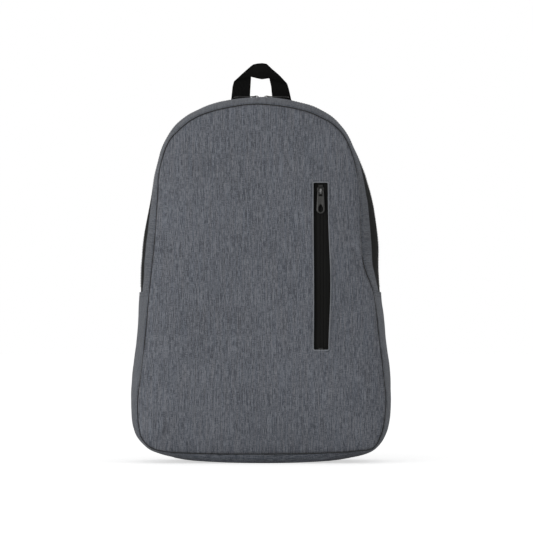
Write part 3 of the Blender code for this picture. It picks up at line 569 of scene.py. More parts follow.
def tapeEdges(along, side):
    middle = bag["zipShare"] + side * 0.00015 / depthOf(along)
    lap = 0.002 / depthOf(along)
    return (tapeFront(along) - lap, middle) if side < 0 else (middle, tapeBack(along) + lap)


for name, side, replaced in (
    ("mainTapeFront", -1, "main_zip_tape_front"), ("mainTapeBack", 1, "main_zip_tape_back"),
):
    edges = partial(tapeEdges, side=side)
    tape = sideStrip(name, upperAlongs, edges, 14, sink=zipArc["sink"], wrinkle=0.3, sunk=True)
    finishPiece(tape, zipTape, "zip_tape", replaced, thickness=0.0008)
print("sides made")

# front panel, domed inside its seam, with the pocket window cut out
seamLoop = ribs[:, 2:4]
seamOffset = seamLoop - np.array(bag["centre"])
seamAngles = np.arctan2(seamOffset[:, 1], seamOffset[:, 0])
seamReach = np.hypot(seamOffset[:, 0], seamOffset[:, 1])
order = np.argsort(seamAngles)
seamAngles, seamReach = seamAngles[order], seamReach[order]

window = {"left": 0.0591, "right": 0.0761, "low": 0.1296, "high": 0.3205, "near": 0.02}
pocket = {
    "middle": 0.0676,
    "origin": Vector((0.0676, -0.043966, 0.310348)),
    "pull": Vector((0.0676, -0.046758, 0.310563)),
    "down": Vector((0.0, -0.076833, -0.997044)),
    "out": Vector((0.0, -0.997044, 0.076833)),
    "across": Vector((-1.0, 0.0, 0.0)),
}
# creases of the front: place x and z, direction x and z, width, depth
kinks = (
    (0.112, 0.232, 0.42, -0.91, 0.0032, 0.0048),
    (0.1, 0.252, 0.72, 0.69, 0.006, 0.0012),
    (-0.083, 0.386, -0.35, -0.94, 0.0035, 0.0022),
    (-0.06, 0.396, 0.2, -0.98, 0.0035, 0.0014),
    (0.07, 0.388, 0.3, -0.95, 0.0035, 0.0018),
    (-0.112, 0.03, 0.6, 0.8, 0.004, 0.0016),
    (0.105, 0.034, -0.55, 0.83, 0.004, 0.0016),
)


def besideWindow(z):
    return window["low"] - window["near"] < z < window["high"] + window["near"]


def bowed(x, z):
    # the window's right edge bows outwards below its middle, and the left one follows it a little
    if not besideWindow(z):
        return x
    if x > pocket["middle"]:
        bow, edge, side = 0.0029 * bell(z - 0.205, 0.055), window["right"], 1
    else:
        bow, edge, side = -0.0006 * bell(z - 0.19, 0.06), window["left"], -1
    past = (x - edge) * side
    return x + side * bow * max(0.0, 1.0 - (past / 0.016 if past > 0 else -past / 0.0085))


def frontShare(x, z):
    dx, dz = x - bag["centre"][0], z - bag["centre"][1]
    reach = float(np.interp(math.atan2(dz, dx), seamAngles, seamReach, period=2 * math.pi))
    return math.hypot(dx, dz) / reach


def frontPoint(x, z, lift=0.0):
    share = min(frontShare(x, z), 1.0)
    flat = 1 - share**6
    push = 0.001 * ripple(x, z, 0.0, 0.075, 1.0) + 0.0004 * ripple(x, z, 0.0, 0.024, 2.0)
    push += 0.0004 * share**8 * ripple(x, z, 0.0, 0.01, 7.0)
    if besideWindow(z):
        # the cloth rises a little beside the zip, then falls back
        beside = max(abs(x - pocket["middle"]) - 0.0085, 0.0)
        push += 0.0005 * bell(beside - 0.004, 0.004)
    for kinkX, kinkZ, runX, runZ, width, depth in kinks:
        dx, dz = x - kinkX, z - kinkZ
        across = (dx * runZ - dz * runX) / width
        fade = depth * bell(dx * runX + dz * runZ, 0.022)
        push -= fade * bell(across, 1.0)
        push += 0.7 * fade * bell(across + 2.0, 1.0)
    seamDip = 0.003 * max(0.0, (share - 0.972) / 0.028) ** 2
    return Vector((x, seamY(z) - 0.015 * flat - push * flat**0.5 - lift + seamDip, z))


panelColumns = 360
panelRadii = [1.0, 0.994, 0.986, 0.976, 0.962, 0.945, 0.925] + [0.9 * (1 - k / 62) for k in range(62)]


def panelAt(r, c):
    base, part = divmod(c * len(ribs) / panelColumns, 1)
    start, end = seamLoop[int(base)], seamLoop[(int(base) + 1) % len(ribs)]
    seamX, seamZ = start + (end - start) * part
    z = bag["centre"][1] + (seamZ - bag["centre"][1]) * panelRadii[r]
    point = frontPoint(seamX * panelRadii[r], z)
    return point, (point.x, point.z)


panelMiddle = (frontPoint(0.0, 0.2), (0.0, 0.2))
frontPanel = gridMesh("frontPanel", len(panelRadii), panelColumns, panelAt, closed=True, fan=panelMiddle)


def facesIn(shape, left, right, low, high):
    centres = [(face, face.calc_center_median()) for face in shape.faces]
    return [face for face, at in centres if left < at.x < right and low < at.z < high]


def cutWindow(shape):
    middle, aside, above = pocket["middle"], 0.016, 0.009
    around = (middle - aside, middle + aside, window["low"] - above, window["high"] + above)
    for edge, normal in (("left", (1, 0, 0)), ("right", (1, 0, 0)), ("low", (0, 0, 1)), ("high", (0, 0, 1))):
        near = facesIn(shape, *around)
        parts = list({v for f in near for v in f.verts}) + list({e for f in near for e in f.edges}) + near
        planeAt = Vector(normal) * window[edge]
        bmesh.ops.bisect_plane(shape, geom=parts, plane_co=planeAt, plane_no=normal, dist=1e-7)
    inside = facesIn(shape, *(window[edge] for edge in ("left", "right", "low", "high")))
    bmesh.ops.delete(shape, geom=inside, context="FACES")
    bmesh.ops.triangulate(shape, faces=[f for f in shape.faces if len(f.verts) > 4])
    for vert in shape.verts:
        if abs(vert.co.x - pocket["middle"]) < 0.025:
            vert.co.x = bowed(vert.co.x, vert.co.z)


reshape(frontPanel.data, cutWindow)
frontPanel.data.shade_smooth()
finishPiece(frontPanel, panelCloth, "heather_fabric", "front_panel", thickness=bag["cloth"])
print("front panel made")


def arc(cx, cy, rx, ry, start, step, count):
    angles = [math.radians(start + step * k) for k in range(count)]
    return [(cx + rx * math.cos(angle), cy + ry * math.sin(angle)) for angle in angles]


def windowLoop(grow, corner=0.0016, spacing=0.003):
    # points round the window, grown outwards, from its low right corner
    left, right = window["left"] - grow, window["right"] + grow
    low, high = window["low"] - grow, window["high"] + grow
    r = corner + grow
    points = []
    x0, x1, z0, z1 = left + r, right - r, low + r, high - r
    for cx, cz, start in ((x1, z0, -90), (x1, z1, 0), (x0, z1, 90), (x0, z0, 180)):
        points += arc(cx, cz, r, r, start, 15, 7)
    dense = []
    for point, after in zip(points, points[1:] + points[:1]):
        cuts = max(1, round(math.dist(point, after) / spacing))
        dense += [
            (point[0] + (after[0] - point[0]) * c / cuts, point[1] + (after[1] - point[1]) * c / cuts)
            for c in range(cuts)
        ]
    return [(bowed(x, z), z) for x, z in dense]


welt = {"width": 0.0013, "rise": 0.0005, "sink": 0.001, "sides": 10, "sunk": 0.0001}
weltLoop = windowLoop(0.0003)


def weltAt(r, k):
    x, z = weltLoop[k]
    before, after = weltLoop[k - 1], weltLoop[(k + 1) % len(weltLoop)]
    run = Vector((after[0] - before[0], after[1] - before[1])).normalized()
    angle = 2 * math.pi * (r % welt["sides"]) / welt["sides"]
    side = math.cos(angle) * welt["width"] * 0.5
    height = math.sin(angle)
    lift = height * (welt["rise"] if height > 0 else welt["sink"])
    point = Vector((x + run.y * side, frontPoint(x, z).y - lift - welt["sunk"], z - run.x * side))
    return point, (x + run.y * side * 3, z - run.x * side * 3)


weltRing = gridMesh("pocketWelt", welt["sides"] + 1, len(weltLoop), weltAt, closed=True)
# its lighter cloth is a painted highlight on the folded edge
finishPiece(weltRing, weltHighlightCloth, "welt_fabric", "pocket_welt")


def framePoint(down, across, out):
    return pocket["origin"] + pocket["down"] * down + pocket["across"] * across + pocket["out"] * out


pocketTape = {"gap": 0.0001, "edge": 0.0113, "start": -0.0118, "length": 0.2, "rows": 44, "columns": 81}


def pocketTapeAt(k, c, side):
    across = pocketTape["gap"] + (pocketTape["edge"] - pocketTape["gap"]) * (k / (pocketTape["rows"] - 1))
    edge = max(0.0, 1.0 - across / 0.0012)
    lift = -0.0005 * edge**2 + 0.0002 * math.sin(min(across / 0.0085, 1.0) * math.pi)
    lift -= 0.0004 * max(0.0, (across - 0.0088) / 0.0025)
    # the coil behind raises the middle, and its sewing line dips beside it
    lift += 0.00035 / (1 + math.exp((across - 0.0031) / 0.00025))
    lift -= 0.0003 * bell(across - 0.0037, 0.0004)
    down = pocketTape["length"] * c / (pocketTape["columns"] - 1)
    return framePoint(pocketTape["start"] + down, side * across, lift), (side * across, down)


for side, name, replaced in (
    (1, "pocketTapeLeft", "pocket_zip_tape_left"), (-1, "pocketTapeRight", "pocket_zip_tape_right"),
):
    tape = gridMesh(name, pocketTape["rows"], pocketTape["columns"], partial(pocketTapeAt, side=side))
    finishPiece(tape, zipTape, "zip_tape", replaced, thickness=0.0006)
print("pocket cloth made")


def evaluated(holder, name):
    # the finished mesh of a helper object, which is then removed
    bpy.context.view_layer.update()
    graph = bpy.context.evaluated_depsgraph_get()
    mesh = bpy.data.meshes.new_from_object(holder.evaluated_get(graph))
    bpy.data.objects.remove(holder)
    mesh.name = name
    return mesh


def weld(shape):
    bmesh.ops.remove_doubles(shape, verts=shape.verts, dist=1e-6)
    bmesh.ops.recalc_face_normals(shape, faces=shape.faces)


def plate(name, loops, thickness, bevel, down, across, out, origin):
    # loops are outlines in (down, across) with the outer one first; out is the plate's normal
    curve = bpy.data.curves.new(name, "CURVE")
    curve.dimensions = "2D"
    curve.fill_mode = "BOTH"
    curve.extrude = thickness / 2 - bevel
    curve.bevel_depth = bevel
    curve.bevel_resolution = 2
    curve.offset = -bevel
    for loop in loops:
        line = curve.splines.new("POLY")
        line.points.add(len(loop) - 1)
        for point, (d, a) in zip(line.points, loop):
            point.co = (d, a, 0.0, 1.0)
        line.use_cyclic_u = True
    mesh = evaluated(linked(name + "Line", curve), name)
    mesh.transform(Matrix.Translation(origin) @ Matrix((down, across, out)).transposed().to_4x4())
    reshape(mesh, weld)
    mesh.shade_smooth()
    mesh.set_sharp_from_angle(angle=math.radians(38))
    return linked(name, mesh)


def roundedLoop(x0, x1, half0, half1, corner):
    # a four-sided outline from x0 to x1, half0 wide at the first end and half1 at the other
    points = []
    for cx, cy, start in ((x0, -half0, 180), (x1, -half1, 270), (x1, half1, 0), (x0, half0, 90)):
        mx = cx + (corner if cx == x0 else -corner)
        my = cy + (corner if cy < 0 else -corner)
        points += arc(mx, my, corner, corner, start, 18, 6)
    return points


def sliderPieces(name, body, origin, down, across, out):
    plateLoop = roundedLoop(-0.0047, 0.0047, 0.0042, 0.0034, 0.0014)
    base = plate(name + "Plate", [plateLoop], 0.0016, 0.00035, down, across, out, origin + out * 0.0011)
    finishPiece(base, gunMetal, "slider_metal", body, body=body)
    side = arc(0, 0.0018, 0.0037, 0.0028, 180, -15, 13) + arc(0, 0.0016, 0.0026, 0.0021, 0, 15, 13)
    bridge = plate(name + "Bridge", [side], 0.0024, 0.0004, down, out, -across, origin)
    # the bridge takes the lighter metal: a painted highlight on the slider's top
    finishPiece(bridge, paintedHighlightMetal, "slider_metal", body=body)


def pullPiece(name, body, axis, down, across, out):
    # the tab hangs from the bar at its top; a square hole there and a drop-shaped one at its tip
    outline = [
        *arc(0.0003, 0.0028, 0.0009, 0.0009, 180, -22.5, 5), (0.017, 0.0046),
        *arc(0.0206, 0.0, 0.005, 0.0048, 90, -15, 13), (0.017, -0.0046),
        *arc(0.0003, -0.0028, 0.0009, 0.0009, 270, -22.5, 5),
    ]
    top = roundedLoop(0.0009, 0.0056, 0.0021, 0.0023, 0.0006)
    tip = []
    for angle in np.linspace(0, 2 * math.pi, 24, endpoint=False):
        narrow = 1.0 + 0.28 * math.cos(angle)
        tip.append((0.0196 + 0.0046 * math.cos(angle), 0.0027 * math.sin(angle) * narrow))
    tab = plate(name, [outline, top[::-1], tip[::-1]], 0.0009, 0.0003, down, across, out, axis)
    finishPiece(tab, pullMetal, "pull_metal", body, body=body)


pocketFrame = (pocket["down"], pocket["across"], pocket["out"])
sliderPieces("pocketSlider", "pocket_slider", pocket["origin"], *pocketFrame)
pullPiece("pocketPull", "pocket_pull", pocket["pull"], *pocketFrame)
mainZip = {
    "restAngle": math.radians(2.4), "pivot": Vector((0.0, 0.0142, 0.27)), "radius": 0.1477,
    "pullX": 0.006399, "pullZ": 0.422666, "pullSink": 0.0016,
}
for side, name in ((-1, "Left"), (1, "Right")):
    sine, cosine = math.sin(mainZip["restAngle"]), math.cos(mainZip["restAngle"])
    radial = Vector((side * sine, 0.0, cosine))
    along = Vector((side * cosine, 0.0, -sine))
    mainFrame = (along, along.cross(radial), radial)
    lower = name.lower()
    middle = mainZip["pivot"] + radial * mainZip["radius"]
    axis = Vector((side * mainZip["pullX"], mainZip["pivot"].y, mainZip["pullZ"]))
    sliderPieces("mainSlider" + name, "main_slider_" + lower, middle, *mainFrame)
    pullPiece("mainPull" + name, "main_pull_" + lower, axis - radial * mainZip["pullSink"], *mainFrame)
print("metal made")

# haul loop: two upright legs and a band folded across them
loop = {"y": 0.0595, "thick": 0.0013, "raise": 0.0024, "width": 0.0222, "legLength": 0.052}
legs = {
    "haulLegLeft": (
        ((-0.0362, 0, 0.4072), (-0.0354, 0, 0.4185), (-0.0338, 0, 0.432),
         (-0.0322, 0, 0.4378), (-0.0225, -0.0002, 0.447), (-0.012, -0.0004, 0.4562)),
        ((-0.0142, 0, 0.4072), (-0.0136, 0, 0.4185), (-0.0128, 0, 0.432),
         (-0.0123, 0, 0.44), (-0.012, 0, 0.448), (-0.01, -0.0004, 0.457)),
    ),
    "haulLegRight": (
        ((0.0128, 0, 0.4072), (0.0125, 0, 0.4185), (0.0112, 0, 0.432),
         (0.0094, 0, 0.44), (0.009, 0, 0.448), (0.008, -0.0004, 0.4562)),
        ((0.0372, 0, 0.4072), (0.0346, 0, 0.4185), (0.032, 0, 0.429),
         (0.03, 0, 0.4352), (0.0205, -0.0002, 0.4445), (0.01, -0.0004, 0.4545)),
    ),
}


def through(points, shift=0.0):
    # a polyline; the loop's top stands a little higher than its CAD solid
    points = [Vector((x, y + shift, z + loop["raise"] * clipped((z - 0.41) / 0.02))) for x, y, z in points]

    def at(t):
        place = t * (len(points) - 1)
        k = min(int(place), len(points) - 2)
        return points[k].lerp(points[k + 1], place - k)
    return at


def legAt(r, c, low, high):
    s, t = r / 13, c / 47
    return low(t).lerp(high(t), s), (s * loop["width"], t * loop["legLength"])


for name, edges in legs.items():
    low, high = (through(edge, loop["y"]) for edge in edges)
    leg = gridMesh(name, 14, 48, partial(legAt, low=low, high=high), centre=(0.0, 0.03, 0.42))
    finishPiece(leg, blackWebbing, "webbing", "haul_loop", body="haul_loop", thickness=loop["thick"])
bandLow = through((
    (-0.0322, 0.058, 0.4374), (-0.0235, 0.0574, 0.4402), (-0.0125, 0.056, 0.443), (-0.006, 0.0548, 0.4412),
    (0.0005, 0.0545, 0.4399), (0.008, 0.055, 0.441), (0.014, 0.0562, 0.4398), (0.0215, 0.0574, 0.4372),
    (0.03, 0.058, 0.4348),
))
bandHigh = through((
    (-0.0322, 0.0582, 0.438), (-0.022, 0.0584, 0.4472), (-0.0098, 0.059, 0.458), (-0.005, 0.0598, 0.4592),
    (0.001, 0.06, 0.4597), (0.006, 0.0596, 0.4588), (0.0125, 0.0588, 0.4526), (0.021, 0.0583, 0.4452),
    (0.03, 0.0582, 0.4354),
))


def bandAt(r, c):
    s, t = r / 15, c / 96
    point = bandLow(t).lerp(bandHigh(t), s)
    point.y -= 0.0022 * math.sin(math.pi * s) * math.sin(math.pi * t) ** 1.5
    return point, (s * 0.0198, 0.062 * t)


band = gridMesh("haulBand", 16, 97, bandAt, centre=(0.0, 0.08, 0.445))
smooth = band.modifiers.new("smooth", "SMOOTH")
smooth.factor = 0.5
smooth.iterations = 3
finishPiece(band, blackWebbing, "webbing", body="haul_loop", thickness=loop["thick"])
print("haul loop made")

# inside strips: seam bindings, the tapes over the join seams, the coil behind the zip
allAlongs = np.linspace(0.0, girth, 361)
stripAlongs = np.linspace(0.0005, girth - 0.0005, 361)
joinSpan = np.linspace(-0.008, 0.008, 6)
for name, low, high, alongs, sink, replaced in (
    ("frontBinding", 0.012, 0.1, stripAlongs, 0.003, "front_seam_binding"),
    ("backBinding", 0.9, 0.985, stripAlongs, 0.003, "back_seam_binding"),
    ("joinTapeRight", 0.12, 0.88, joinRight + joinSpan, 0.0034, "cross_seam_tape_right"),
    ("joinTapeLeft", 0.12, 0.88, joinLeft + joinSpan, 0.0034, "cross_seam_tape_left"),
    ("mainCoil", 0.503, 0.537, upperAlongs, 0.003, "main_zip_coil"),
):
    isCoil = name == "mainCoil"
    edges = partial(lambda along, ends: ends, ends=(low, high))
    strip = sideStrip(name, alongs, edges, 8, sink, 0.3 if isCoil else 0.8, sunk=isCoil)
    material, slot = (coilBlack, "zip_coil") if isCoil else (liningCloth, "lining_fabric")
    finishPiece(strip, material, slot, replaced, thickness=0.0008)
print("inside strips made")

# padded back: mesh cloth over foam, with sewn channels
back = {"y": 0.056, "rise": 0.0032, "channel": 0.003, "channelWidth": 0.004}


def backLift(x, z, share):
    # how far the padding stands out: low near the seam, the straps' sewn ends and the tabs
    ease = (1.0 - min(1.0, share / 0.93) ** 6) * clipped((0.345 - z) / 0.03) * clipped((z - 0.075) / 0.03)
    sewn = sum(bell(dip, back["channelWidth"]) for dip in (abs(x), abs(abs(x) - 0.062)))
    for level in (0.1, 0.185, 0.27):
        sewn += 0.8 * bell(z - level - 0.012 * math.cos(x * 22.0), back["channelWidth"])
    lift = (back["rise"] - back["channel"] * sewn) * ease
    return max(lift, -0.0004) + 0.0003 * ripple(x, 3.0, z, 0.03, 4.0)


backEdge = [sidePoint(along, 1.0, 0.0003) for along in allAlongs[:-1]]
backRadii = [1.0, 0.992, 0.98, 0.965, 0.945] + [0.92 * (1 - k / 70) for k in range(70)]


def backAt(r, c):
    radius = backRadii[r]
    x = backEdge[c].x * radius
    z = bag["centre"][1] + (backEdge[c].z - bag["centre"][1]) * radius
    lift = backLift(x, z, radius) if r else 0.0
    point = Vector((x, back["y"] - 0.0008 * radius**40 + lift, z))
    return point, (point.x, point.z)


backMiddle = (Vector((0.0, back["y"] + backLift(0, 0.2, 0), 0.2)), (0.0, 0.2))
backPanel = gridMesh(
    "backPanel", len(backRadii), len(backEdge), backAt, closed=True, fan=backMiddle, centre=(0.0, -0.5, 0.2),
)
finishPiece(backPanel, spacerMesh, "mesh_cloth", "back_panel", thickness=0.0007)


def curvePath(knots, firstSlope, lastSlope, steps):
    knots = [Vector(k) for k in knots]
    gaps = [after - before for before, after in zip(knots, knots[1:])]
    turns = [(a.normalized() + b.normalized()) * 0.5 for a, b in zip(gaps, gaps[1:])]
    slopes = [Vector(firstSlope), *turns, Vector(lastSlope)]
    path = []
    for k, gap in enumerate(gaps):
        first, last = (slopes[j] * gap.length for j in (k, k + 1))
        path += [hermite(knots[k], first, knots[k + 1], last, step / steps) for step in range(steps)]
    return [*path, knots[-1]]


def signedPower(value, power):
    return math.copysign(abs(value) ** power, value)


def bandMesh(name, path, across, half, thick, sides=16, square=0.2, swell=None):
    # a closed band round a path; across(run) is its width direction, half(t) its half width
    frames = []
    travelled = [0.0]
    for k, point in enumerate(path):
        run = (path[min(k + 1, len(path) - 1)] - path[max(k - 1, 0)]).normalized()
        wide = across(run).normalized()
        frames.append((point, wide, wide.cross(run).normalized(), k / (len(path) - 1)))
        if k:
            travelled.append(travelled[-1] + (point - path[k - 1]).length)

    def at(k, s):
        point, wide, normal, t = frames[k]
        angle = 2 * math.pi * s / sides
        sideways = half(t) * signedPower(math.cos(angle), square)
        upward = thick * signedPower(math.sin(angle), 0.7 if square < 0.5 else 1.0)
        if swell:
            upward *= swell(t, sideways / half(t), travelled[k])
        return point + wide * sideways + normal * upward, (sideways, travelled[k])

    def closeEnds(shape):
        bmesh.ops.holes_fill(shape, edges=[e for e in shape.edges if e.is_boundary])
        bmesh.ops.recalc_face_normals(shape, faces=shape.faces)

    made = gridMesh(name, len(path), sides, at, closed=True)
    reshape(made.data, closeEnds)
    made.data.shade_smooth()
    made.data.set_sharp_from_angle(angle=math.radians(50))
    return made, frames


def webPiece(name, path, wide, half, thick, *replaced, material=blackWebbing):
    # a flat band whose width lies along one direction
    widthAt = half if callable(half) else lambda t: half
    made, _ = bandMesh(name, path, lambda run: wide, widthAt, thick)
    finishPiece(made, material, "webbing", *replaced)


rightGear = {
    "flat": Vector((-0.25038, 0.0, 0.96815)),
    "up": Vector((-0.24294, 0.24192, 0.93939)),
    "out": Vector((0.06057, 0.9703, -0.23422)),
    "tab": Vector((0.112, 0.0583, 0.045)),
    "foot": Vector((0.112, 0.0599, 0.045)),
    "lock": Vector((0.09077, 0.08352, 0.1271)),
    "loopEnd": Vector((0.0244, 0.0583, 0.3901)),
}
strapSize = {
    "thick": 0.0056, "endHalf": 0.0205, "half": 0.0285, "bow": 0.1003, "topX": 0.048,
    "topY": 0.0634, "topZ": 0.3517, "sewn": 0.006,
}
webSize = {"half": 0.0099, "thick": 0.0006, "lap": 0.016, "tail": 0.07, "bar": 0.0024, "loopBar": 0.0023}
upwards = Vector((0.0, 0.0, 1.0))
backwards = Vector((0.0, 1.0, 0.0))
greyStitches = []
darkStitches = []


def strapEnds(t):
    return min(1.0, 0.55 + 4.5 * min(t, 1 - t))


def strapHalf(t):
    return strapSize["endHalf"] + (strapSize["half"] - strapSize["endHalf"]) * min(1.0, 2.5 * t)


def strapSwell(t, aside, travelled):
    pinch = 1.0 - 0.22 * bell(abs(aside) - 0.86, 0.05)
    wave = 1.0 + 0.03 * math.sin(travelled * 260.0 + 3.0 * aside)
    return strapEnds(t) * pinch * wave


def strapAcross(run):
    return run.cross((backwards - run * backwards.dot(run)).normalized())


def strapPieces(side, name, gear):
    lower = name.lower()
    start = gear["lock"] + gear["up"] * 0.0255
    top = Vector((side * strapSize["topX"], strapSize["topY"], strapSize["topZ"] - strapSize["sewn"]))
    knots = [start]
    for shareX, y, shareZ in (
        (0.4, strapSize["bow"], 0.31), (0.72, strapSize["bow"], 0.62),
        (0.92, (strapSize["bow"] + strapSize["topY"]) / 2 - 0.004, 0.85),
    ):
        knots.append((start.x + (top.x - start.x) * shareX, y, start.z + (top.z - start.z) * shareZ))
    path = curvePath([*knots, top], gear["up"], upwards, 30)
    path += [top + upwards * strapSize["sewn"] * k / 3 for k in (1, 2, 3)]
    strap, frames = bandMesh(
        "strap" + name, path, strapAcross, strapHalf, strapSize["thick"], 56, 0.35, strapSwell,
    )
    strap.data.materials.append(strapCloth)
    strap.data.materials.append(spacerMesh)
    for polygon in strap.data.polygons:
        point, _, normal, _ = min(frames, key=lambda f: (f[0] - polygon.center).length_squared)
        away = (polygon.center - point).dot(normal) * (1 if normal.y > 0 else -1)
        polygon.material_index = 1 if away < -0.0012 else 0
    layers = ("strap_shell_" + lower, "strap_foam_" + lower, "strap_mesh_" + lower)
    finishPiece(strap, None, "heather_fabric", *layers)
    for edge, edgeName in ((-1, "In"), (1, "Out")):
        pipe = []
        row = []
        for point, wide, normal, t in frames:
            outer = normal * (1 if normal.y > 0 else -1)
            pipe.append(point + wide * edge * (strapHalf(t) * 0.995) - outer * 0.001)
            lift = strapSize["thick"] * 0.93 * strapEnds(t)
            row.append(point + wide * edge * (strapHalf(t) - 0.0045) + outer * lift)
        piping, _ = bandMesh(
            "strapPiping" + name + edgeName, pipe[1:-1], backwards.cross, lambda t: 0.0011, 0.0016, 10, 1.0,
        )
        finishPiece(piping, bindingTape, "webbing")
        greyStitches.append(row[2:-2])

    lock, foot, flat, up, out = (gear[key] for key in ("lock", "foot", "flat", "up", "out"))
    width = up.cross(out)

    def turn(centre, radius, first, last):
        angles = [math.radians(first + (last - first) * k / 10) for k in range(11)]
        return [centre + up * radius * math.cos(a) + out * radius * math.sin(a) for a in angles]

    bar = out * webSize["loopBar"]
    loopPath = [lock + up * 0.0252 + bar, lock + up * 0.018 + bar]
    loopPath += turn(lock + up * 0.01, webSize["loopBar"], 90, 270)
    loopPath += [lock + up * 0.018 - bar, lock + up * 0.0252 - bar]
    webPiece("lockLoop" + name, loopPath, width, 0.0098, webSize["thick"], "lock_loop_" + lower)

    sewn = foot + flat * webSize["lap"]
    webPath = [foot + flat * webSize["lap"] * k / 4 + backwards * 0.0002 for k in range(5)]
    below = lock - up * 0.006 - out * webSize["bar"]
    webPath += curvePath([sewn + backwards * 0.0003, below], flat, up, 12)[1:]
    webPath += turn(lock, webSize["bar"], -90, 90)[1:]
    for k in range(1, 19):
        away = webSize["bar"] + 0.0012 * math.sin(math.pi * k / 18)
        webPath.append(lock + out * away - up * webSize["tail"] * k / 18)
    half, thick = webSize["half"], webSize["thick"]
    webPiece("adjusterWebbing" + name, webPath, width, half, thick, "adjuster_webbing_" + lower)
    hemPath = [webPath[-1] + up * webSize["lap"] * (1 - k / 5) + out * 0.0013 for k in range(6)]
    webPiece("webbingHem" + name, hemPath, width, half, 0.0007)
    tabWide = flat.cross(backwards)
    webPiece(
        "cornerTab" + name, [gear["tab"] + flat * (-0.0195 + 0.039 * k / 8) for k in range(9)], tabWide,
        lambda t: 0.0195 - 0.0057 * min(1.0, 1.6 * t), 0.0008, "corner_tab_" + lower, material=strapCloth,
    )
    end = gear["loopEnd"]
    endPath = [end - backwards * 0.0001 + upwards * 0.0156 * k / 6 for k in range(7)]
    webPiece("haulEnd" + name, endPath, Vector((1, 0, 0)), 0.011, 0.0007, "haul_loop_end_" + lower)
    # a box with a cross is sewn at the webbing's foot and at the haul loop's end
    for corner, wide, high, low, far, rows in (
        (foot + backwards * 0.0011, tabWide * 0.0082, flat * webSize["lap"], 0.2, 0.95, darkStitches),
        (end + backwards * 0.0009, Vector((0.009, 0, 0)), upwards, 0.002, 0.014, greyStitches),
    ):
        marks = ((-1, low), (1, low), (1, far), (-1, far), (-1, low), (1, far), (1, low), (-1, far))
        rows.append([corner + wide * a + high * b for a, b in marks])


for side, name in ((-1, "Left"), (1, "Right")):
    strapPieces(side, name, {key: Vector((v.x * side, v.y, v.z)) for key, v in rightGear.items()})

yoke = {
    "half": 0.0775, "y": 0.0596, "z": 0.36, "stitchY": 0.0617, "stitchHalf": 0.074,
    "stitchZ": (0.3545, 0.3655),
}
yokePath = [Vector((yoke["half"] * (k / 30 - 1), yoke["y"], yoke["z"])) for k in range(61)]
yokeBand, _ = bandMesh("strapYoke", yokePath, lambda run: upwards, lambda t: 0.0078, 0.0019, 24, 0.3)
finishPiece(yokeBand, strapCloth, "heather_fabric", "strap_yoke")
yokeXs = np.linspace(-yoke["stitchHalf"], yoke["stitchHalf"], 60)
greyStitches += [[Vector((x, yoke["stitchY"], z)) for x in yokeXs] for z in yoke["stitchZ"]]
print("back and straps made")


def makeStitchTree():
    # one short thread, repeated along each row
    tree = bpy.data.node_groups.new("stitchRow", "GeometryNodeTree")
    tree.interface.new_socket("Geometry", in_out="OUTPUT", socket_type="NodeSocketGeometry")
    for socketName, kind in (
        ("Geometry", "Geometry"), ("Spacing", "Float"), ("Stitch", "Float"), ("Thread", "Float"),
        ("Finish", "Material"),
    ):
        tree.interface.new_socket(socketName, in_out="INPUT", socket_type="NodeSocket" + kind)
    given = tree.nodes.new("NodeGroupInput").outputs
    result = tree.nodes.new("NodeGroupOutput").inputs
    line, spread, points, thread, copies, real, finish = (
        putNode(tree, "GeometryNode" + kind) for kind in (
            "MeshToCurve", "ResampleCurve", "CurveToPoints", "MeshCylinder", "InstanceOnPoints",
            "RealizeInstances", "SetMaterial",
        )
    )
    spread.mode = "LENGTH"
    points.mode = "EVALUATED"
    thread.inputs["Vertices"].default_value = 6
    turn = putNode(tree, "FunctionNodeAlignEulerToVector", axis="Z")
    join(
        tree,
        (given["Geometry"], line.inputs["Mesh"]),
        (line.outputs[0], spread.inputs["Curve"]),
        (given["Spacing"], spread.inputs["Length"]),
        (spread.outputs[0], points.inputs["Curve"]),
        (given["Thread"], thread.inputs["Radius"]),
        (given["Stitch"], thread.inputs["Depth"]),
        (points.outputs["Tangent"], turn.inputs["Vector"]),
        (points.outputs["Points"], copies.inputs["Points"]),
        (thread.outputs["Mesh"], copies.inputs["Instance"]),
        (turn.outputs[0], copies.inputs["Rotation"]),
        (copies.outputs[0], real.inputs[0]),
        (real.outputs[0], finish.inputs["Geometry"]),
        (given["Finish"], finish.inputs["Material"]),
        (finish.outputs[0], result["Geometry"]),
    )
    return tree


stitchTree = makeStitchTree()


def stitchRows(name, material, lines, spacing=0.003, stitch=0.0022, thread=0.0002):
    verts = []
    edges = []
    for line in lines:
        edges += [(len(verts) + k, len(verts) + k + 1) for k in range(len(line) - 1)]
        verts += [tuple(p) for p in line]
    mesh = bpy.data.meshes.new(name + "Line")
    mesh.from_pydata(verts, edges, [])
    holder = linked(name + "Line", mesh)
    row = holder.modifiers.new("stitches", "NODES")
    row.node_group = stitchTree
    sockets = {s.name: s.identifier for s in stitchTree.interface.items_tree if s.in_out == "INPUT"}
    for key, value in (("Spacing", spacing), ("Stitch", stitch), ("Thread", thread), ("Finish", material)):
        row[sockets[key]] = value
    finishPiece(linked(name, evaluated(holder, name)), None)


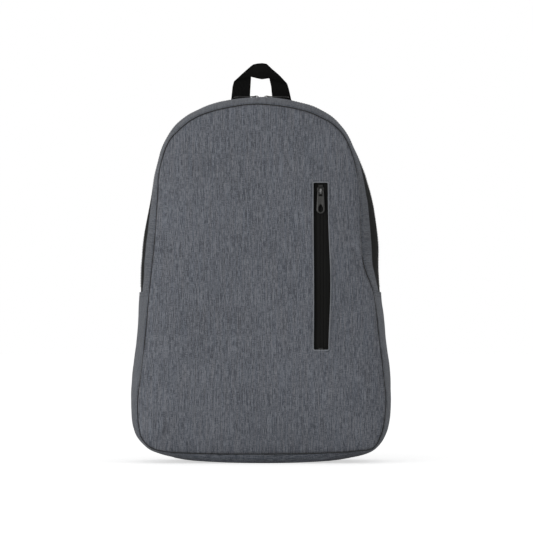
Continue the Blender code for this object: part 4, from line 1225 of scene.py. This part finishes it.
stitchLift = 0.0001
windowRing = windowLoop(0.0022)
windowStitch = [frontPoint(x, z, 0.00012) for x, z in [*windowRing, windowRing[0]]]
stitchRows("windowStitch", threadGrey, [windowStitch], spacing=0.0028, stitch=0.0019, thread=0.00016)
stitchRows("joinStitch", threadGrey, [
    [sidePoint(joinAt + way * offset, 0.03 + 0.94 * k / 49, -stitchLift) for k in range(50)]
    for joinAt, way in ((joinRight, -1), (joinLeft, 1)) for offset in (0.0018, 0.0055)
])
stitchRows("zipStitch", threadGrey, [
    [sidePoint(along, edgeOf(along) + inset / depthOf(along), -stitchLift) for along in upperAlongs[3:-3]]
    for edgeOf, inset in ((tapeFront, -0.0025), (tapeBack, 0.0025))
])
# a thin dark tube in each seam groove: partly the seam thread, partly painted shade of the groove
for name, share, sink in (("frontSeamThread", 0.0, 0.0012), ("backSeamThread", 1.0, 0.0016)):
    line = [sidePoint(along, share, sink) for along in allAlongs]
    seamShadeThread, _ = bandMesh(name, line, lambda run: backwards, lambda t: 0.00055, 0.00055, 8, 1.0)
    finishPiece(seamShadeThread, threadBlack)
stitchRows("gearStitchGrey", threadGrey, greyStitches)
stitchRows("gearStitchDark", threadBlack, darkStitches)
print("stitches made")

# camera, white surround and soft light
scene = bpy.context.scene
camera = linked("camera", bpy.data.cameras.new("camera"))
camera.data.lens = 293.1
camera.data.sensor_width = 36
camera.data.clip_end = 100
camera.location = (0.0058, -5.0, 0.2246)
camera.rotation_euler = (math.radians(90), 0, 0)
scene.camera = camera

floorMesh = bpy.data.meshes.new("floor")
floorMesh.from_pydata([(-6, -6, 0), (6, -6, 0), (6, 6, 0), (-6, 6, 0)], [], [(0, 1, 2, 3)])
linked("floor", floorMesh)
floorWhite, tree, shader = startMaterial(
    "floorWhite", Base_Color=(0.8, 0.8, 0.8, 1.0), Roughness=0.9, Specular_IOR_Level=0.0,
)
rays = putNode(tree, "ShaderNodeLightPath").outputs
glow = putNode(tree, "ShaderNodeEmission")
both = putNode(tree, "ShaderNodeAddShader")
join(
    tree,
    (mathNode(tree, "MULTIPLY", rays["Is Camera Ray"], 0.6), glow.inputs["Strength"]),
    (shader.outputs[0], both.inputs[0]),
    (glow.outputs[0], both.inputs[1]),
    (both.outputs[0], tree.nodes["Material Output"].inputs["Surface"]),
)
floorMesh.materials.append(floorWhite)

scene.view_settings.view_transform = "Standard"
world = bpy.data.worlds.new("surround")
scene.world = world
world.use_nodes = True
tree = world.node_tree
rays = putNode(tree, "ShaderNodeLightPath").outputs
seen = mathNode(tree, "MAXIMUM", rays["Is Camera Ray"], rays["Is Transmission Ray"])
seen = mathNode(tree, "MAXIMUM", seen, mathNode(tree, "MULTIPLY", rays["Is Glossy Ray"], 0.6))
level = mathNode(tree, "ADD", mathNode(tree, "MULTIPLY", seen, 0.45), 0.55)
background = tree.nodes["Background"]
background.inputs["Color"].default_value = (1.0, 1.0, 1.0, 1.0)
tree.links.new(level, background.inputs["Strength"])

for name, place, aim, size, power in (
    ("keyLight", (-1.1, -1.6, 0.12), (0.0, 0.0, 0.16), 1.0, 20.0),
    ("topLight", (0.2, -0.4, 1.9), (0.0, 0.0, 0.3), 1.2, 0.6),
):
    lamp = bpy.data.lights.new(name, "AREA")
    lamp.size = size
    lamp.energy = power
    holder = linked(name, lamp)
    holder.location = place
    holder.rotation_euler = (Vector(aim) - Vector(place)).to_track_quat("-Z", "Y").to_euler()
print("camera and light set")
